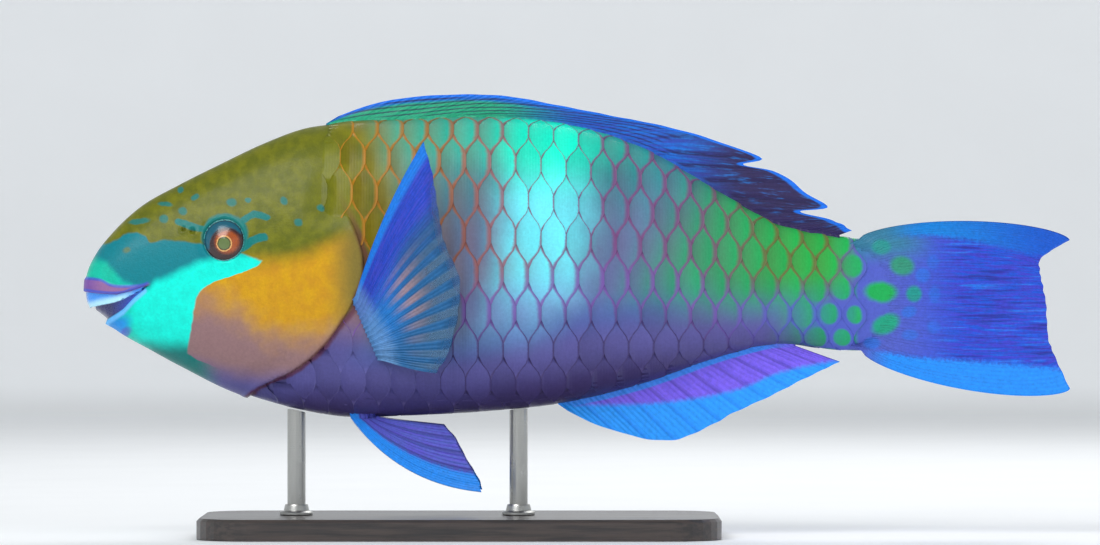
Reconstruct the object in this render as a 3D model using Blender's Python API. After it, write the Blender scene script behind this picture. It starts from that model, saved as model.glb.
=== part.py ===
"""A parrotfish, life size and still, held level on a plain stand.

The fish looks towards -X, its left side faces -Y and +Z is up. The origin is on the floor, under the middle
of the fish's length. Sizes are written in millimetres and heights on the fish are measured from its own
axis, the level line through the front of the beak. Both are turned into metres where a mesh is made.
"""

import math

import bmesh
import bpy
import numpy as np
from mathutils import Matrix, Vector
from mathutils.bvhtree import BVHTree
from mathutils.geometry import delaunay_2d_cdt

# Driving dimensions
TOTAL_LENGTH = 380.0
AXIS_HEIGHT = 90.8
GAP = 0.3
DRAWN_LENGTH = 380.0
FISH_SCALE = TOTAL_LENGTH / DRAWN_LENGTH
FAR = 260.0

# Sections of the body from the snout to the end of the tail stalk. Each row gives where the section meets
# the back (x, height) and the belly (x, height), its half width, and how high up the section is widest.
SECTIONS = (
    (-189.3, 5.6, -189.3, 1.6, 2.0, 0.50),
    (-189.0, 8.4, -188.9, -0.6, 4.6, 0.50),
    (-188.1, 11.8, -187.8, -3.1, 7.2, 0.50),
    (-185.0, 18.0, -183.5, -6.9, 10.2, 0.49),
    (-178.5, 26.2, -175.8, -12.7, 12.8, 0.48),
    (-168.1, 35.8, -164.2, -19.2, 15.2, 0.47),
    (-152.7, 44.6, -152.7, -25.4, 17.8, 0.47),
    (-137.3, 52.3, -137.3, -32.7, 20.4, 0.47),
    (-121.2, 60.0, -121.9, -38.1, 22.6, 0.47),
    (-106.5, 65.6, -106.5, -42.3, 24.4, 0.47),
    (-89.2, 69.0, -89.2, -45.0, 25.5, 0.47),
    (-68.1, 69.8, -68.1, -44.7, 26.0, 0.47),
    (-37.3, 70.8, -37.3, -43.1, 25.8, 0.48),
    (-6.5, 68.6, -6.5, -39.9, 24.4, 0.48),
    (24.2, 59.6, 24.2, -32.7, 20.8, 0.48),
    (54.2, 42.6, 54.2, -22.4, 15.6, 0.49),
    (78.1, 29.6, 78.1, -17.3, 11.2, 0.50),
    (101.2, 25.0, 101.2, -19.6, 8.0, 0.50),
    (113.0, 23.4, 113.0, -19.4, 6.0, 0.50),
    (122.0, 18.5, 122.0, -15.5, 4.0, 0.50),
)
BACK_FULLNESS = 0.96
BELLY_FULLNESS = 0.88

# Mouth, seen from the side: the lower edge of the upper lip and the upper edge of the lower lip, each from
# the front to the corner of the mouth, and the cutting edge of the upper tooth plate.
UPPER_LIP_TOP = ((-191.0, 8.6), (-183.5, 7.9), (-176.5, 5.4), (-170.0, 5.4), (-164.5, 6.6))
UPPER_LIP_EDGE = ((-196.0, 3.4), (-189.6, 3.4), (-183.5, 2.7), (-176.5, 2.3), (-171.0, 3.6), (-164.3, 6.0))
LOWER_LIP_EDGE = (
    (-190.0, -14.0),
    (-181.2, -8.8),
    (-174.5, -4.6),
    (-170.0, 0.2),
    (-166.0, 3.6),
    (-164.3, 5.2),
)
BITE_EDGE = ((-196.0, -3.4), (-188.2, -3.2), (-184.0, -2.2), (-176.5, -0.6), (-171.5, 1.5), (-166.5, 4.2))
BITE_TEETH = 13
BITE_DEPTH = 0.55
UPPER_PLATE_INSET = 0.4
LOWER_PLATE_INSET = 0.7
LIP_RISE = 0.8
LIP_WIDTH = 2.6
LIP_SOFTNESS = 1.6
LIP_TAPER = 8.0
MOUTH_CORNER = -163.5
PLATE_DEPTH_X = -150.0

# Rear edge of the head: over the nape, then round the free edge of the gill cover to the throat.
HEAD_EDGE = (
    (-103.5, 76.0),
    (-98.0, 58.0),
    (-91.0, 40.0),
    (-84.5, 27.0),
    (-81.4, 15.5),
    (-82.0, 5.8),
    (-86.2, -2.3),
    (-95.0, -15.8),
    (-108.5, -27.3),
    (-120.4, -32.7),
    (-133.0, -42.0),
)
GILL_COVER_TOP = 32.0
GILL_COVER_BLEND = 14.0
GILL_COVER_RISE = 0.9
GILL_COVER_FADE = 16.0
CHEEK_GROOVE = ((-113.0, 20.0), (-108.5, 4.0), (-108.0, -12.0), (-112.5, -23.0), (-124.0, -28.5))
CHEEK_GROOVE_DEPTH = 0.5
CHEEK_GROOVE_WIDTH = 2.4

# Eye and nostrils, placed on the side of the head at x and height.
EYE_PLACE = (-135.0, 23.0)
EYE_RADIUS = 9.2
EYE_BULGE = 5.0
EYE_SINK = 2.6
EYE_RIM_RISE = 0.7
EYE_RIM_WIDTH = 1.8
EYE_FACETS = (22, 11)
PIT_FACETS = (10, 6)
NOSTRILS = ((-150.7, 27.2, 0.85), (-147.2, 26.6, 1.15))
NOSTRIL_DEPTH = 1.4
NOSTRIL_SINK = 0.45

STALK_START = 86.0

# Scales on the torso and the tail stalk, in rows along the body, each row half a scale behind the next. A
# scale shows a tall six-sided face: it stands highest at the upright bar of its rear edge and dips under
# the scale in front. Rows are counted from the scale line, and the skin stays bare beside the fins. The
# height of a row and the share of it that the bar takes are given at three places along the body.
SCALE_LENGTH = 9.6
SCALE_PLACES = (-20.0, 45.0, 100.0)
SCALE_ROW_HEIGHTS = (14.6, 12.6, 9.4)
SCALE_BARS = (0.50, 0.36, 0.24)
SCALE_STEP = 0.7
SCALE_EDGE = 0.7
SCALE_FIRST_X = -124.0
SCALE_LINE = ((-100.0, 13.0), (60.0, 6.0), (122.0, 3.0))
SCALE_ROWS = range(-8, 9)
SCALE_CLEAR = 2.5
BARE_TURNS = (-90.0, -82.0, 82.0, 90.0)
TURN_LENGTH = 30.0

# Fins. Half thickness where a fin leaves the body and at its edge, and how far a ray's ridge stands out.
FIN_ROOT_HALF = 1.8
TAIL_ROOT_HALF = 3.4
FIN_EDGE_HALF = 0.3
RAY_RIDGE = 0.45
RAY_NOTCH = 0.7
MIDLINE_SINK = 4.0
TAIL_SINK = (6.0, 3.0)
PECTORAL_SINK = (1.0, 3.5)
PELVIC_SINK = (1.0, 5.0)

# A row of a fin on the midline gives where one ray leaves the body (x) and where it ends (x, height).
DORSAL_RAYS = 19
DORSAL_ROWS = (
    (-96.5, -91.9, 70.8),
    (-91.2, -81.9, 74.6),
    (-81.5, -66.2, 77.9),
    (-68.1, -48.8, 79.2),
    (-48.8, -27.7, 78.7),
    (-29.6, -6.5, 75.0),
    (-10.4, 14.6, 70.8),
    (8.8, 35.0, 66.7),
    (20.4, 52.0, 61.9),
    (28.1, 71.5, 54.4),
    (33.5, 64.5, 52.3),
    (41.5, 76.2, 49.6),
    (48.5, 83.1, 45.8),
    (54.2, 88.8, 41.0),
    (60.0, 96.9, 35.8),
    (67.0, 86.0, 34.2),
    (76.0, 95.8, 31.6),
    (88.0, 102.0, 29.4),
    (101.0, 106.0, 26.8),
)
ANAL_RAYS = 12
ANAL_ROWS = (
    (-7.3, -3.5, -42.7),
    (-4.2, 5.0, -47.1),
    (1.2, 14.6, -50.4),
    (8.8, 26.2, -53.5),
    (18.5, 38.8, -53.8),
    (28.1, 49.2, -49.6),
    (39.6, 60.8, -43.5),
    (51.2, 74.2, -37.3),
    (62.7, 85.8, -31.5),
    (74.2, 95.8, -26.5),
    (84.0, 101.5, -23.8),
)
# A row of the other fins gives a ray's root (x, height), its tip (x, height) and how far it bows.
TAIL_RAYS = 15
TAIL_ROWS = (
    (108.5, 23.5, 190.0, 23.1, 6.4),
    (113.5, 21.5, 184.2, 19.8, 5.2),
    (117.3, 17.7, 178.8, 15.8, 3.6),
    (119.6, 12.3, 178.5, 11.2, 1.6),
    (120.8, 6.2, 179.6, 5.8, 0.4),
    (121.2, 0.0, 180.8, -0.8, 0.0),
    (120.8, -5.4, 181.2, -7.7, -0.4),
    (119.6, -10.8, 181.9, -15.4, -1.6),
    (117.3, -15.4, 183.8, -20.4, -3.4),
    (113.8, -18.4, 186.9, -27.3, -5.6),
    (109.6, -19.6, 190.0, -34.2, -7.6),
)
PECTORAL_RAYS = 14
PECTORAL_ROWS = (
    (-84.2, 0.8, -58.1, 60.0, 4.0),
    (-82.7, -2.3, -55.0, 49.2, 3.0),
    (-81.2, -5.8, -52.7, 35.4, 2.2),
    (-79.6, -9.6, -50.0, 21.5, 1.4),
    (-78.1, -13.1, -44.6, 8.5, 0.8),
    (-76.5, -16.5, -45.4, -6.9, 0.2),
    (-75.4, -19.2, -48.8, -20.0, -0.4),
    (-74.2, -21.9, -53.5, -27.7, -1.0),
)
PECTORAL_LIFT = 0.34
PELVIC_RAYS = 6
PELVIC_ROWS = (
    (-86.9, -45.4, -36.5, -73.5, -6.5),
    (-85.0, -45.4, -37.3, -70.0, -5.0),
    (-83.1, -45.4, -40.0, -65.4, -3.6),
    (-81.2, -45.4, -43.8, -58.8, -2.2),
    (-79.2, -45.4, -46.9, -52.8, -1.0),
    (-77.3, -45.2, -51.2, -48.0, 0.0),
)
PELVIC_ROOT_OUT = 5.0
PELVIC_TIP_OUT = (15.0, 9.0)

# Stand
BASE_SIZE = (200.0, 96.0, 8.0)
BASE_CENTRE_X = -45.0
BASE_CORNER = 20.0
BASE_CHAMFER = 1.2
CORNER_POINTS = 8
ROD_RADIUS = 3.5
ROD_SIDES = 20
ROD_TOP = -30.0
ROD_PLACES = {"stand_rod_front": -108.0, "stand_rod_rear": -22.5}

# Fineness of the meshes
HEAD_RINGS = 46
HEAD_END = -60.0
PLATE_RINGS = 16
TORSO_START = -128.0
TORSO_END = 122.0
MIDLINE_STEP = 5.0
SIDES = 44
HEAD_SIDES = 52
CLEARANCE_RINGS = 80
CLEARANCE_SIDES = 72
CLEARANCE_SPARE = 0.05
SIDE_CROWDING = 0.22
FIN_STEPS = (0.0, 0.12, 0.28, 0.48, 0.72, 1.0)


def smooth_rows(rows, places):
    """Rows of a smooth curve through the given rows, at places from 0 (first row) to 1 (last row)."""
    rows = np.asarray(rows, float)
    steps = np.linalg.norm(np.diff(rows[:, :2], axis=0), axis=1)
    knots = np.concatenate([[0.0], np.cumsum(steps)]) / steps.sum()
    slopes = np.gradient(rows, knots, axis=0)
    places = np.clip(places, 0.0, 1.0)
    left = np.clip(np.searchsorted(knots, places, "right") - 1, 0, len(knots) - 2)
    width = (knots[left + 1] - knots[left])[:, None]
    part = (places - knots[left])[:, None] / width
    start = (1 + 2 * part) * (1 - part) ** 2 * rows[left] + part * (1 - part) ** 2 * width * slopes[left]
    end = part**2 * (3 - 2 * part) * rows[left + 1] + part**2 * (part - 1) * width * slopes[left + 1]
    return start + end


def curve(points, count):
    """Points of a smooth line through the given points."""
    return smooth_rows(points, np.linspace(0.0, 1.0, count))


def section_point(places, turns):
    """Points of the body's skin: places run from the snout to the tail, turns go round each section."""
    rows = smooth_rows(SECTIONS, places)[:, None, :]
    back, belly, half_width, level = rows[..., 0:2], rows[..., 2:4], rows[..., 4], rows[..., 5]
    rise = np.where(np.sin(turns) > 0, level + (1 - level) * np.sin(turns), level * (1 + np.sin(turns)))
    power = np.where(np.sin(turns) > 0, BACK_FULLNESS, BELLY_FULLNESS)
    across = half_width * np.sign(np.cos(turns)) * np.abs(np.cos(turns)) ** power
    along = belly + (back - belly) * rise[..., None]
    return np.stack([along[..., 0], across, along[..., 1]], axis=-1)


def distance_to(points, line):
    """Distance of each side-view point from a line of points."""
    best = np.full(points.shape[:-1], np.inf)
    for start, end in zip(line[:-1], line[1:]):
        span = end - start
        part = np.clip(((points - start) @ span) / (span @ span), 0.0, 1.0)
        best = np.minimum(best, np.linalg.norm(points - start - part[..., None] * span, axis=-1))
    return best


def ease(value):
    """A smooth step from 0 to 1."""
    value = np.clip(value, 0.0, 1.0)
    return value * value * (3 - 2 * value)


def head_relief(side):
    """How far the lips, the eye's rim and the gill cover stand out, and the cheek groove lies in."""
    x, height = side[..., 0], side[..., 1]
    below_top = np.interp(x, *np.transpose(UPPER_LIP_TOP)) - height
    above_edge = height - np.interp(x, *np.transpose(UPPER_LIP_EDGE)) + LIP_SOFTNESS
    corner = ease((MOUTH_CORNER - x) / LIP_TAPER)
    upper_lip = ease(below_top / LIP_SOFTNESS + 0.5) * ease(above_edge) * corner
    lower_lip = np.exp(-((distance_to(side, np.array(LOWER_LIP_EDGE)) / LIP_WIDTH) ** 2)) * corner
    gill = np.exp(-((distance_to(side, curve(HEAD_EDGE, 40)) / GILL_COVER_FADE) ** 2))
    gill *= ease((GILL_COVER_TOP - height) / GILL_COVER_BLEND)
    groove = np.exp(-((distance_to(side, curve(CHEEK_GROOVE, 16)) / CHEEK_GROOVE_WIDTH) ** 2))
    from_eye = np.linalg.norm(side - np.array(EYE_PLACE), axis=-1)
    rim = np.exp(-(((from_eye - EYE_RADIUS) / EYE_RIM_WIDTH) ** 2))
    lips = LIP_RISE * np.maximum(upper_lip, lower_lip)
    return lips + GILL_COVER_RISE * gill - CHEEK_GROOVE_DEPTH * groove + EYE_RIM_RISE * rim


def outward(places, turns):
    """The skin's outward direction, square to the lines along and round it."""
    step = 1e-4
    after, before = np.clip(places + step, 0.0, 1.0), np.clip(places - step, 0.0, 1.0)
    along = section_point(after, turns) - section_point(before, turns)
    around = section_point(places, turns + step) - section_point(places, turns - step)
    out = np.cross(around, along)
    return out / np.linalg.norm(out, axis=-1, keepdims=True)


def body_points(places, sides, proud=0.0, relief=None):
    """A grid of skin points, moved out by an even amount and by a relief seen from the side."""
    turns = np.linspace(0.0, 2 * math.pi, sides, endpoint=False)
    turns = turns - SIDE_CROWDING * np.sin(2 * turns)
    points = section_point(places, turns)
    amount = np.full(points.shape[:2], proud)
    if relief is not None:
        amount = amount + relief(points[..., [0, 2]])
    return points + outward(places, turns) * amount[..., None]


def place_of(x):
    """The place along the body, 0 to 1, whose section sits at this x on the back."""
    places = np.linspace(0.0, 1.0, 800)
    return float(np.interp(x, smooth_rows(SECTIONS, places)[:, 0], places))


def metres(points):
    """Millimetres on the fish, with heights from its axis, as metres above the floor."""
    return (np.asarray(points, float) * FISH_SCALE + np.array([0.0, 0.0, AXIS_HEIGHT])) * 0.001


def material(name, colour, roughness, metallic=0.0):
    """A plain surface finish."""
    made = bpy.data.materials.new(name)
    made.use_nodes = True
    shader = made.node_tree.nodes["Principled BSDF"]
    shader.inputs["Base Color"].default_value = (*colour, 1.0)
    shader.inputs["Roughness"].default_value = roughness
    shader.inputs["Metallic"].default_value = metallic
    return made


def solid(name, points, faces):
    """An object from points in metres and faces, split into triangles and turned outward."""
    mesh = bpy.data.meshes.new(name)
    mesh.from_pydata([tuple(point) for point in points], [], [tuple(face) for face in faces])
    work = bmesh.new()
    work.from_mesh(mesh)
    bmesh.ops.recalc_face_normals(work, faces=work.faces)
    bmesh.ops.triangulate(work, faces=work.faces)
    work.to_mesh(mesh)
    work.free()
    made = bpy.data.objects.new(name, mesh)
    bpy.context.scene.collection.objects.link(made)
    return made


def tube(name, grid):
    """A closed solid from rings of points, with a flat cap at each end."""
    rings, sides = grid.shape[:2]
    index = np.arange(rings * sides).reshape(rings, sides)
    faces = []
    for ring in range(rings - 1):
        for side in range(sides):
            after = (side + 1) % sides
            near, far = index[ring], index[ring + 1]
            faces.append((near[side], near[after], far[after], far[side]))
    faces.append(tuple(index[0]))
    faces.append(tuple(index[-1]))
    return solid(name, metres(grid.reshape(-1, 3)), faces)


def prism(name, outline, half_width=60.0):
    """A block with the given side-view outline, reaching the same distance to both sides."""
    outline = np.asarray(outline, float)
    count = len(outline)
    near = np.column_stack([outline[:, 0], np.full(count, -half_width), outline[:, 1]])
    far = np.column_stack([outline[:, 0], np.full(count, half_width), outline[:, 1]])
    walls = [(i, (i + 1) % count, count + (i + 1) % count, count + i) for i in range(count)]
    faces = [tuple(range(count)), tuple(range(count, 2 * count))] + walls
    return solid(name, metres(np.concatenate([near, far])), faces)


def delete(thing):
    """Removes an object and its mesh."""
    mesh = thing.data
    bpy.data.objects.remove(thing, do_unlink=True)
    bpy.data.meshes.remove(mesh)


def keep_largest(thing):
    """Keeps the closed surface that encloses the most."""
    work = bmesh.new()
    work.from_mesh(thing.data)
    left = set(work.verts)
    islands = []
    while left:
        found = {left.pop()}
        front = list(found)
        while front:
            for edge in front.pop().link_edges:
                for vertex in edge.verts:
                    if vertex in left:
                        left.discard(vertex)
                        found.add(vertex)
                        front.append(vertex)
        islands.append(found)
    islands.sort(key=island_volume)
    for island in islands[:-1]:
        bmesh.ops.delete(work, geom=list(island), context="VERTS")
    work.to_mesh(thing.data)
    work.free()


def island_volume(vertices):
    """The volume that a closed group of vertices encloses, from the signed tetrahedra of its faces."""
    total = 0.0
    for face in {face for vertex in vertices for face in vertex.link_faces}:
        corners = [vertex.co for vertex in face.verts]
        for second, third in zip(corners[1:-1], corners[2:]):
            total += corners[0].dot(second.cross(third)) / 6.0
    return abs(total)


def combine(thing, other, operation, keep_other=False):
    """Applies a Boolean between two solids and keeps the largest closed surface."""
    modifier = thing.modifiers.new(operation.lower(), "BOOLEAN")
    modifier.operation = operation
    modifier.object = other
    graph = bpy.context.evaluated_depsgraph_get()
    result = bpy.data.meshes.new_from_object(thing.evaluated_get(graph))
    thing.modifiers.clear()
    old = thing.data
    thing.data = result
    bpy.data.meshes.remove(old)
    if not keep_other:
        delete(other)
    keep_largest(thing)


def finish(thing, name, surface):
    """Names a solid, gives it its surface and shades it smooth except at sharp edges."""
    thing.name = name
    thing.data.name = name
    thing.data.materials.clear()
    thing.data.materials.append(surface)
    thing.data.shade_smooth()
    thing.data.set_sharp_from_angle(angle=math.radians(40))
    return thing


def region_in_front(shift):
    """Side-view outline of all that lies in front of the head's rear edge, moved back by a distance."""
    edge = curve(HEAD_EDGE, 36) + np.array([shift, 0.0])
    corners = [(edge[-1, 0], -FAR), (-FAR, -FAR), (-FAR, FAR), (edge[0, 0], FAR)]
    return np.concatenate([edge, corners])


def region_between(low_x, high_x):
    """Side-view outline of the part of the fish between two upright planes."""
    return [(low_x, -FAR), (low_x, FAR), (high_x, FAR), (high_x, -FAR)]


def mouth_region():
    """Side-view outline of the open mouth, from one lip to the other."""
    upper = curve(UPPER_LIP_EDGE, 16)
    lower = curve(LOWER_LIP_EDGE, 16)[::-1]
    return np.concatenate([upper, lower])


def bite_line(drop):
    """The toothed cutting edge between the two tooth plates, lowered by a distance."""
    line = curve(BITE_EDGE, 2 * BITE_TEETH + 1)
    line[1:-1:2, 1] += BITE_DEPTH
    line[:, 1] -= drop
    return line


def side_hit(tree, x, height, side):
    """Where a level line from one side (-1 left, 1 right) meets the skin, and the skin's outward direction."""
    start = Vector(metres((x, side * 100.0, height)))
    place, normal, _, _ = tree.ray_cast(start, Vector((0.0, -side, 0.0)))
    return place, normal


def turned_ball(name, place, outward, radius, depth, facets):
    """A ball flattened along the given direction, at a place in metres."""
    work = bmesh.new()
    bmesh.ops.create_uvsphere(work, u_segments=facets[0], v_segments=facets[1], radius=1.0)
    turn = outward.to_track_quat("Z", "Y").to_matrix().to_4x4()
    size = Matrix.Diagonal((radius * 0.001, radius * 0.001, depth * 0.001, 1.0))
    bmesh.ops.transform(work, matrix=Matrix.Translation(place) @ turn @ size, verts=work.verts)
    bmesh.ops.triangulate(work, faces=work.faces)
    mesh = bpy.data.meshes.new(name)
    work.to_mesh(mesh)
    work.free()
    made = bpy.data.objects.new(name, mesh)
    bpy.context.scene.collection.objects.link(made)
    return made


def make_head(surface):
    """The head: snout, lips, cheeks and gill covers, with the mouth, eye sockets and nostrils cut out."""
    places = np.linspace(0.0, place_of(HEAD_END), HEAD_RINGS)
    places = np.insert(places, 1, places[1] / 2)
    head = tube("head", body_points(places, HEAD_SIDES, relief=head_relief))
    tree = BVHTree.FromObject(head, bpy.context.evaluated_depsgraph_get())
    combine(head, prism("front_region", region_in_front(0.0)), "INTERSECT")
    combine(head, prism("mouth", mouth_region()), "DIFFERENCE")
    eyes = []
    for side in (-1, 1):
        place, outward = side_hit(tree, *EYE_PLACE, side)
        centre = place - outward * EYE_SINK * 0.001
        eyes.append((side, centre, outward))
        socket = turned_ball("socket", centre, outward, EYE_RADIUS + GAP, EYE_BULGE + GAP, EYE_FACETS)
        combine(head, socket, "DIFFERENCE")
        for x, height, radius in NOSTRILS:
            place, outward = side_hit(tree, x, height, side)
            centre = place - outward * NOSTRIL_SINK * 0.001
            pit = turned_ball("pit", centre, outward, radius, NOSTRIL_DEPTH, PIT_FACETS)
            combine(head, pit, "DIFFERENCE")
    return finish(head, "head", surface), eyes


def make_eyes(eyes, surface):
    """The two eyeballs, each in its socket."""
    for side, centre, outward in eyes:
        name = "eye_left" if side < 0 else "eye_right"
        ball = turned_ball(name, centre, outward, EYE_RADIUS, EYE_BULGE, EYE_FACETS)
        finish(ball, name, surface)


def make_tooth_plate(name, outline, inset, surface):
    """One tooth plate: the front of the snout, set in a little, inside an outline seen from the side."""
    places = np.linspace(0.0, place_of(PLATE_DEPTH_X), PLATE_RINGS)
    plate = tube(name, body_points(places, SIDES, proud=-inset))
    combine(plate, prism("plate_region", outline), "INTERSECT")
    finish(plate, name, surface)


def make_beak(surface):
    """The upper and lower tooth plates, which close along a toothed edge."""
    lip = curve(UPPER_LIP_EDGE, 16) - np.array([0.0, GAP])
    keep = lip[:, 0] < BITE_EDGE[-1][0] - 1.0
    outline = np.concatenate([lip[keep], bite_line(0.0)[::-1]])
    make_tooth_plate("beak_upper", outline, UPPER_PLATE_INSET, surface)
    lip = curve(LOWER_LIP_EDGE, 16) + np.array([-GAP, GAP])
    keep = lip[:, 0] < BITE_EDGE[-1][0] - 2.0
    bite = bite_line(GAP)
    bite = bite[bite[:, 0] < BITE_EDGE[-1][0] - 1.0]
    outline = np.concatenate([bite, lip[keep][::-1]])
    make_tooth_plate("beak_lower", outline, LOWER_PLATE_INSET, surface)


def turns_at(x, rows):
    """The turns at which points of these scale rows lie on the skin at x, or None beside a fin."""
    turns = np.linspace(-math.pi / 2, math.pi / 2, 181)
    section = section_point(np.array([place_of(x)]), turns)[0]
    lengths = np.concatenate([[0.0], np.cumsum(np.linalg.norm(np.diff(section, axis=0), axis=1))])
    start = np.interp(np.interp(x, *np.transpose(SCALE_LINE)), section[:, 2], lengths)
    wanted = start + np.asarray(rows) * np.interp(x, SCALE_PLACES, SCALE_ROW_HEIGHTS)
    if wanted.min() < SCALE_CLEAR or wanted.max() > lengths[-1] - SCALE_CLEAR:
        return None
    return np.interp(wanted, lengths, turns)


def scale_cell(x, row):
    """The six corners (x, turn, depth) of a scale's visible face whose rear bar is at x, in order round it."""
    half_bar = np.interp(x, SCALE_PLACES, SCALE_BARS) / 2
    sides = (
        (x, half_bar, 0.0),
        (x - SCALE_LENGTH / 2, 1.0 - half_bar, 0.5),
        (x - SCALE_LENGTH, half_bar, 1.0),
    )
    above, below = [], []
    for corner_x, up, share in sides:
        turns = turns_at(corner_x, (row - up, row + up))
        if turns is None:
            return []
        back = corner_x + share * SCALE_EDGE
        below.append((back, float(turns[0]), share * SCALE_STEP))
        above.append((back, float(turns[1]), share * SCALE_STEP))
    return above + below[::-1]


def bare_edge():
    """Points (x, turn, depth) of the bare skin along the back and the belly."""
    points = []
    for x in np.arange(TORSO_START, TORSO_END + 0.1, MIDLINE_STEP):
        for turn in BARE_TURNS:
            points.append((x, math.radians(turn), 0.0))
    return points


def scaled_trunk():
    """The body from behind the eye to the end of the tail stalk, with its scales in low relief.

    The points of one side are laid out flat by x and turn, joined into triangles, wrapped on to the body's
    sections with the depth of each point, and mirrored. The two sides meet along the back and the belly.
    """
    points, edges = bare_edge(), []
    count = int((TORSO_END - SCALE_FIRST_X) / SCALE_LENGTH)
    for row in SCALE_ROWS:
        for column in range(count):
            x = SCALE_FIRST_X + (column + 0.5 * (row % 2)) * SCALE_LENGTH
            cell = scale_cell(x, row)
            first = len(points)
            points += cell
            corners = range(first, first + len(cell))
            edges += zip(corners, [*corners[1:], *corners[:1]])
    coords = [Vector((x, turn * TURN_LENGTH)) for x, turn, _ in points]
    flat, _, faces, origins, _, _ = delaunay_2d_cdt(coords, edges, [], 0, 1e-5)
    depths = np.array([points[origin[0]][2] if origin else SCALE_STEP / 2 for origin in origins])
    places = np.array([place_of(point.x) for point in flat])
    turns = np.array([point.y / TURN_LENGTH for point in flat])
    skin = np.array([section_point(np.array([p]), np.array([t]))[0, 0] for p, t in zip(places, turns)])
    out = np.array([outward(np.array([p]), np.array([t]))[0, 0] for p, t in zip(places, turns)])
    skin = skin - out * depths[:, None]
    skin[np.abs(turns) > math.pi / 2 - 1e-4, 1] = 0.0
    mirrored = skin * np.array([1.0, -1.0, 1.0])
    count = len(skin)
    faces = [tuple(face) for face in faces]
    faces += [tuple(count + corner for corner in reversed(face)) for face in faces]
    trunk = solid("torso", metres(np.concatenate([skin, mirrored])), faces)
    work = bmesh.new()
    work.from_mesh(trunk.data)
    bmesh.ops.remove_doubles(work, verts=work.verts, dist=1e-6)
    bmesh.ops.holes_fill(work, edges=[edge for edge in work.edges if edge.is_boundary])
    bmesh.ops.recalc_face_normals(work, faces=work.faces)
    bmesh.ops.triangulate(work, faces=work.faces)
    work.to_mesh(trunk.data)
    work.free()
    return trunk


def make_trunk(torso_surface, stalk_surface):
    """The torso behind the head, and the tail stalk behind the torso."""
    torso = scaled_trunk()
    combine(torso, prism("front_region", region_in_front(GAP)), "DIFFERENCE")
    stalk = torso.copy()
    stalk.data = torso.data.copy()
    bpy.context.scene.collection.objects.link(stalk)
    combine(torso, prism("rear_region", region_between(STALK_START, FAR)), "DIFFERENCE")
    combine(stalk, prism("fore_region", region_between(-FAR, STALK_START + GAP)), "DIFFERENCE")
    finish(torso, "torso", torso_surface)
    finish(stalk, "tail_stalk", stalk_surface)


def clearance_body():
    """The whole body a gap larger all round, which the fins and rods are cut by."""
    places = np.linspace(0.0, 1.0, CLEARANCE_RINGS)
    proud = GAP + CLEARANCE_SPARE
    grid = body_points(places, CLEARANCE_SIDES, proud, lambda side: np.maximum(0.0, head_relief(side)))
    return tube("clearance", grid)


def fin_sheet(name, roots, tips, bows, sink, rays, root_half, side=0):
    """A fin as one thin sheet with a raised ridge along each ray.

    Rows of roots and tips are points in the fish's frame, bows bend each ray within the side view, and the
    sink carries the root into the body. Every second line of the sheet is a ray, and the membrane between
    two rays ends a little short of their tips.
    """
    rows = smooth_rows(np.column_stack([roots, tips, bows]), np.linspace(0.0, 1.0, 2 * rays - 1))
    is_ray = np.arange(len(rows)) % 2 == 0
    root, tip, bow = rows[:, 0:3], rows[:, 3:6], rows[:, 6]
    length = np.linalg.norm(tip - root, axis=1)
    span = (tip - root) * np.where(is_ray, 1.0, 1.0 - RAY_NOTCH / length)[:, None]
    sideways = np.column_stack([-span[:, 2], np.zeros(len(span)), span[:, 0]]) / length[:, None]
    steps = np.array(FIN_STEPS)[None, :, None]
    grid = root[:, None] + span[:, None] * steps
    grid = grid + sideways[:, None] * (bow[:, None, None] * 4 * steps * (1 - steps))
    if side:
        lift = PECTORAL_LIFT * length[:, None] * FIN_STEPS
        grid[..., 1] += side * lift
    grid = np.concatenate([(grid[:, :1] + sink[:, None]), grid], axis=1)
    steps = np.concatenate([[0.0], FIN_STEPS])
    across = np.cross(np.gradient(grid, axis=0), np.gradient(grid, axis=1))
    across /= np.linalg.norm(across, axis=-1, keepdims=True)
    half = FIN_EDGE_HALF + (root_half - FIN_EDGE_HALF) * (1 - steps) ** 2.5
    half = half[None, :] + RAY_RIDGE * is_ray[:, None] * (1 - 0.7 * steps)[None, :]
    near, far = grid + across * half[..., None], grid - across * half[..., None]
    return sheet_solid(name, near, far)


def sheet_solid(name, near, far):
    """A closed sheet between two matching grids, split into triangles alike on both faces."""
    lines, steps = near.shape[:2]
    index = np.arange(lines * steps).reshape(lines, steps)
    offset = lines * steps
    faces = []
    for line in range(lines - 1):
        for step in range(steps - 1):
            here, after = index[line], index[line + 1]
            corners = (here[step], after[step], after[step + 1], here[step + 1])
            for triangle in ((0, 1, 2), (0, 2, 3)):
                picked = [corners[corner] for corner in triangle]
                faces.append(tuple(picked))
                faces.append(tuple(offset + corner for corner in reversed(picked)))
    rim = [*index[:, 0], *index[-1, 1:], *index[-2::-1, -1], *index[0, -2:0:-1]]
    for here, after in zip(rim, rim[1:] + rim[:1]):
        faces.append((here, after, offset + after))
        faces.append((here, offset + after, offset + here))
    return solid(name, metres(np.concatenate([near.reshape(-1, 3), far.reshape(-1, 3)])), faces)


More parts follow.
